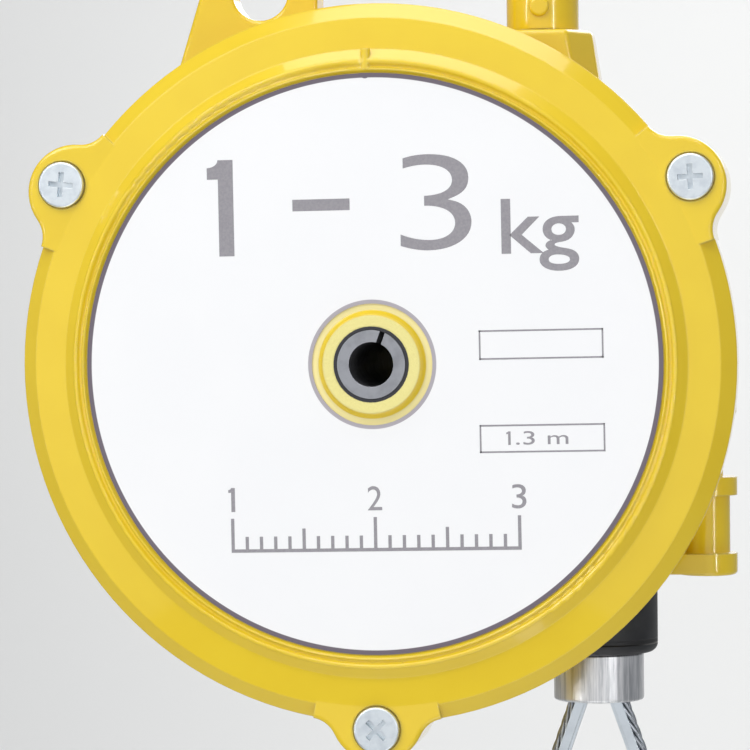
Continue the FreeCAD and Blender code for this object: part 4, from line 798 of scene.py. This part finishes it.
def words(text, left, foot, right, top, heavy=0.0):
    """A text as a flat mesh, stretched into a box; heavy thickens the strokes."""
    curve = bpy.data.curves.new("words", "FONT")
    curve.body = text
    curve.offset = heavy
    holder = bpy.data.objects.new("words", curve)
    bpy.context.scene.collection.objects.link(holder)
    bpy.context.view_layer.update()
    drawn = holder.evaluated_get(bpy.context.evaluated_depsgraph_get())
    mesh = bpy.data.meshes.new_from_object(drawn)
    bpy.data.objects.remove(holder)
    xs = [vertex.co.x for vertex in mesh.vertices]
    ys = [vertex.co.y for vertex in mesh.vertices]
    scale_x = (right - left) * MM / (max(xs) - min(xs))
    scale_y = (top - foot) * MM / (max(ys) - min(ys))
    for vertex in mesh.vertices:
        vertex.co = ((vertex.co.x - min(xs)) * scale_x + left * MM,
                     (vertex.co.y - min(ys)) * scale_y + foot * MM, 0)
    return mesh


# The load on the left is set larger than the travel, which stands in a small box.
LINE = 0.35
rating = [
    figure_one(-33.9, 23.0, -28.4, 43.0),
    bar(-16.0, 32.0, -4.0, 34.4),
    words("3", 6.4, 23.3, 21.3, 43.1, heavy=-0.010),
    words("kg", 27.4, 18.5, 43.4, 33.5, heavy=0.008),
    figure_one(27.6, -17.1, 28.5, -14.3),
    words(".3 m", 29.6, -17.1, 40.4, -14.3),
]
rating += box_frame(22.3, 0.5, 48.0, 6.6, LINE)
rating += box_frame(22.1, -18.7, 48.0, -12.9, LINE)
print("drew", len(rating), "shapes for the rating")

# %% The scale
SCALE_HALF = 30
SCALE_FOOT = -38
SCALE_LINE = 0.7
TICK_WHOLE = 6.4
TICK_HALF = 4.2
TICK_TENTH = 2.6
FIGURE_FOOT = -30.2
FIGURE_TOP = -25.2


def tick(number):
    """One of the marks from 1 to 3, with ten divisions to each whole number."""
    tall = TICK_WHOLE if number % 10 == 0 else TICK_HALF if number % 5 == 0 else TICK_TENTH
    at = SCALE_HALF * (number / 10 - 1)
    return bar(at - SCALE_LINE / 2, SCALE_FOOT, at + SCALE_LINE / 2, SCALE_FOOT + tall)


scale = [bar(-SCALE_HALF - SCALE_LINE / 2, SCALE_FOOT - SCALE_LINE,
             SCALE_HALF + SCALE_LINE / 2, SCALE_FOOT)]
scale += [tick(number) for number in range(21)]
scale.append(figure_one(-SCALE_HALF - 0.8, FIGURE_FOOT, -SCALE_HALF + 0.6, FIGURE_TOP))
scale += [words(text, at - 1.5, FIGURE_FOOT, at + 1.5, FIGURE_TOP)
          for text, at in (("2", 0), ("3", SCALE_HALF))]
print("drew", len(scale), "shapes for the scale")

# %% [markdown]
# ## Laying the print on the plate
# The film has a small round nick at its top, by which it is lined up, and the border's dark ink
# fills it. The rest of the print was set a little askew when the plate was stuck on, so it turns
# by the tilt and the nick doesn't. All of it lies just above the film, so that no two faces share
# a place and flicker.

# %% The nick and the print
PRINT_TILT = math.radians(0.7)
INK_T = 0.02 * MM
NICK_X = -1.0
NICK_R = 1.12
NICK_POINTS = 13
upright = (Matrix.Translation(Vector((shaft_axis.x, plate_y - INK_T, shaft_axis.z)))
           @ Matrix.Rotation(math.pi / 2, 4, "X"))
half_turn = [math.pi * (1 + step / (NICK_POINTS - 1)) for step in range(NICK_POINTS)]
nick_mesh = flat_shape("nick_print", [(NICK_X + NICK_R * math.cos(turn),
                                       plate_r / MM + NICK_R * math.sin(turn))
                                      for turn in half_turn])
nick_mesh.transform(upright)
border_ink = Finish("border_ink", IOR=1.5, Roughness=0.35).finish((*BORDER_INK, 1))
add_piece("nick_print", nick_mesh, border_ink, "housing")
print_mesh = joined("plate_print", rating + scale)
print_mesh.transform(upright @ Matrix.Rotation(PRINT_TILT, 4, "Z"))
add_piece("plate_print", print_mesh, ink, "housing")
print("print has", len(print_mesh.polygons), "faces")

# %% [markdown]
# ## Springs of the latches
# Each hook is shut by a latch with a small torsion spring: a wire that lies along the hook's
# shank, winds round the rivet and ends on the latch. The solid model has a plain sleeve there. A
# curve with a round bevel would also do, but the skin over rings is at hand.

# %% A round wire along points
WIRE_R = 0.30 * MM
COIL_R = 2.35 * MM
WIRE_SIDES = 10


def wire_along(name, points):
    """A round wire along points, by rings square to its line that don't twist."""
    rings = []
    across = None
    for index, place in enumerate(points):
        before = points[max(index - 1, 0)]
        after = points[min(index + 1, len(points) - 1)]
        way = (after - before).normalized()
        across = way.orthogonal() if across is None else across - way * across.dot(way)
        across.normalize()
        rings.append(circle(place, across, way.cross(across), WIRE_R, WIRE_SIDES))
    return skin(name, rings)


print("wire of", round(2 * WIRE_R / MM, 1), "mm")

# %% [markdown]
# ## Winding a spring
# The wire lies in planes square to the rivet, so a complex number gives a place in such a plane
# and multiplying turns it. The ends are where the solid's legs end: the corner farthest from the
# rivet, and the farthest one on the other side of it. Each leg touches the coil.

# %% Wire springs
LEG_STEPS = 8
COIL_STEPS = 60


def tangent(end, sign):
    """Direction and length of the leg that touches the coil and runs to this end."""
    length = math.sqrt(abs(end) ** 2 - COIL_R ** 2)
    return end / complex(length, sign * COIL_R), length


def coil_line(heel, tip, near, far):
    """Places from heel to tip, each with its depth along the rivet, and the angle wound."""
    heel_way, heel_length = tangent(heel, 1)
    tip_way, tip_length = tangent(tip, -1)
    first = heel_way * 1j
    last = tip_way * -1j
    sweep = cmath.phase(last / first) % math.tau + math.tau
    line = [(first * COIL_R + heel_way * heel_length * (1 - step / LEG_STEPS), near)
            for step in range(LEG_STEPS)]
    line += [(first * cmath.exp(1j * sweep * step / COIL_STEPS) * COIL_R,
              near + (far - near) * step / COIL_STEPS) for step in range(COIL_STEPS + 1)]
    line += [(last * COIL_R + tip_way * tip_length * step / LEG_STEPS, far)
             for step in range(1, LEG_STEPS + 1)]
    return line, sweep


def latch_spring(name, solid, rivet):
    """A wound wire in place of the solid spring, with its ends where the solid's legs end."""
    pivot = middle(rivet)
    size = high(rivet) - low(rivet)
    axis, sideways = (RIGHT, BACK) if size.x > size.y else (BACK, RIGHT)

    def flat(point):
        return complex((point - pivot).dot(sideways), point.z - pivot.z)

    corners = [vertex.co.copy() for vertex in nodes[solid].data.vertices]
    tip = max(corners, key=lambda point: abs(flat(point)))
    against = [point for point in corners if (flat(point) * flat(tip).conjugate()).real < 0]
    heel = max(against, key=lambda point: abs(flat(point)))
    depths = [corner.dot(axis) for corner in corners]
    near, far = min(depths) + WIRE_R, max(depths) - WIRE_R
    if abs(heel.dot(axis) - near) > abs(heel.dot(axis) - far):
        near, far = far, near
    line, sweep = coil_line(flat(heel), flat(tip), near, far)
    foot = pivot - axis * pivot.dot(axis)
    points = [foot + axis * depth + sideways * spot.real + UP * spot.imag for spot, depth in line]
    spring = add_piece(name, wire_along(name, points), spring_steel, None)
    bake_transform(spring)
    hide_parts(solid)
    print(name, "winds", round(sweep / math.tau, 2), "turns")


latch_spring("upper_latch_wire", "upper_latch_spring", "upper_latch_rivet")
latch_spring("lower_latch_wire", "lower_latch_spring", "lower_latch_rivet")

# %% [markdown]
# ## Floor, backdrop and light
# A balancer hangs overhead and lets its hook down by more than a metre, so the pale floor lies
# below the lowest place that the hook can reach. Far behind, the floor runs up into a wall in a
# wide curve, as a roll of studio paper does. A plane with a sharp corner would show a line there.

# %% Paper sweep
STAGE_COLOUR = (0.80, 0.80, 0.79)
STAGE_SHADE = tuple(part * 0.97 for part in STAGE_COLOUR)
STAGE_HALF = 6.0
WALL_Y = 6.0
SWEEP_R = 1.5
SWEEP_STEPS = 24
ROPE_TRAVEL = 1.3
FLOOR_GAP = 0.15
floor_z = cad_box[0][2] - ROPE_TRAVEL - FLOOR_GAP


def make_stage():
    paper = Finish("studio_paper")
    fibre = paper.noise(2 * MM, detail=3)
    paper.finish(paper.mix(fibre, STAGE_COLOUR, STAGE_SHADE), roughness=0.9)
    profile = [(-STAGE_HALF, floor_z), (WALL_Y - SWEEP_R, floor_z)]
    for step in range(1, SWEEP_STEPS + 1):
        angle = math.pi / 2 * step / SWEEP_STEPS
        profile.append((WALL_Y - SWEEP_R + SWEEP_R * math.sin(angle),
                        floor_z + SWEEP_R - SWEEP_R * math.cos(angle)))
    profile.append((WALL_Y, floor_z + 2 * STAGE_HALF))
    points = [(x, y, z) for y, z in profile for x in (-STAGE_HALF, STAGE_HALF)]
    faces = [(2 * k, 2 * k + 1, 2 * k + 3, 2 * k + 2) for k in range(len(profile) - 1)]
    mesh = bpy.data.meshes.new("studio_sweep")
    mesh.from_pydata(points, [], faces)
    mesh.polygons.foreach_set("use_smooth", [True] * len(mesh.polygons))
    sweep = bpy.data.objects.new("studio_sweep", mesh)
    bpy.context.scene.collection.objects.link(sweep)
    sweep.data.materials.append(paper.material)


make_stage()
print("floor at", round(floor_z, 3), "wall at", WALL_Y)

# %% [markdown]
# ## Lamps
# A large lamp from the upper left and others overhead, in front, behind and low down give soft
# light. Three long tubes stand left, right and above: on glossy enamel each draws a thin bright
# line along every rounded edge, which a soft lamp alone wouldn't do. A picture of a studio could
# light it all at once, but lamps can be moved one by one. They are hidden from the camera, and
# the paper has a lamp of its own.

# %% Lamps and surround
def add_lamp(name, place, size, power, target=tuple(shaft_axis)):
    """A rectangular lamp at a place, with its face towards the target."""
    lamp = bpy.data.lights.new(name, "AREA")
    lamp.shape = "RECTANGLE"
    lamp.size, lamp.size_y = size
    lamp.energy = power
    holder = bpy.data.objects.new(name, lamp)
    bpy.context.scene.collection.objects.link(holder)
    place = Vector(place)
    holder.location = place
    holder.rotation_euler = (place - Vector(target)).to_track_quat("Z", "Y").to_euler()
    holder.visible_camera = False


add_lamp("soft_lamp", (-0.75, -0.75, 0.75), (0.8, 0.6), 6.2)
add_lamp("left_tube", (-0.98, -0.90, -0.12), (0.04, 0.7), 2.6)
add_lamp("right_tube", (0.80, -0.95, 0.05), (0.04, 0.8), 2.6)
add_lamp("top_tube", (0.05, -0.72, 0.80), (0.8, 0.04), 2.6)
add_lamp("top_lamp", (0.0, -0.1, 0.9), (0.9, 0.5), 3.6)
add_lamp("front_lamp", (-0.2, -1.9, 0.1), (2.4, 2.0), 7.5)
add_lamp("rear_lamp", (0.5, 1.7, 0.9), (1.8, 1.4), 26.0)
add_lamp("low_lamp", (0.1, -0.6, -1.1), (1.0, 0.8), 3.0)
add_lamp("backdrop_lamp", (0.0, 3.0, 0.8), (2.5, 2.5), 88.0, target=(0.0, WALL_Y, 0.0))
world = bpy.data.worlds.new("surround")
world.use_nodes = True
surround = world.node_tree.nodes["Background"]
surround.inputs["Color"].default_value = (0.92, 0.95, 1.0, 1)
surround.inputs["Strength"].default_value = 0.30
bpy.context.scene.world = world
bpy.context.scene.view_settings.view_transform = "Standard"
print("lamps lit:", len(bpy.data.lights))

# %% [markdown]
# ## The size of the whole
# The box of the solids, kept when they were loaded, is printed. Nothing that was added may make
# the balancer bigger than its solids.

# %% Print the box of the solids
print("solid box", cad_box)
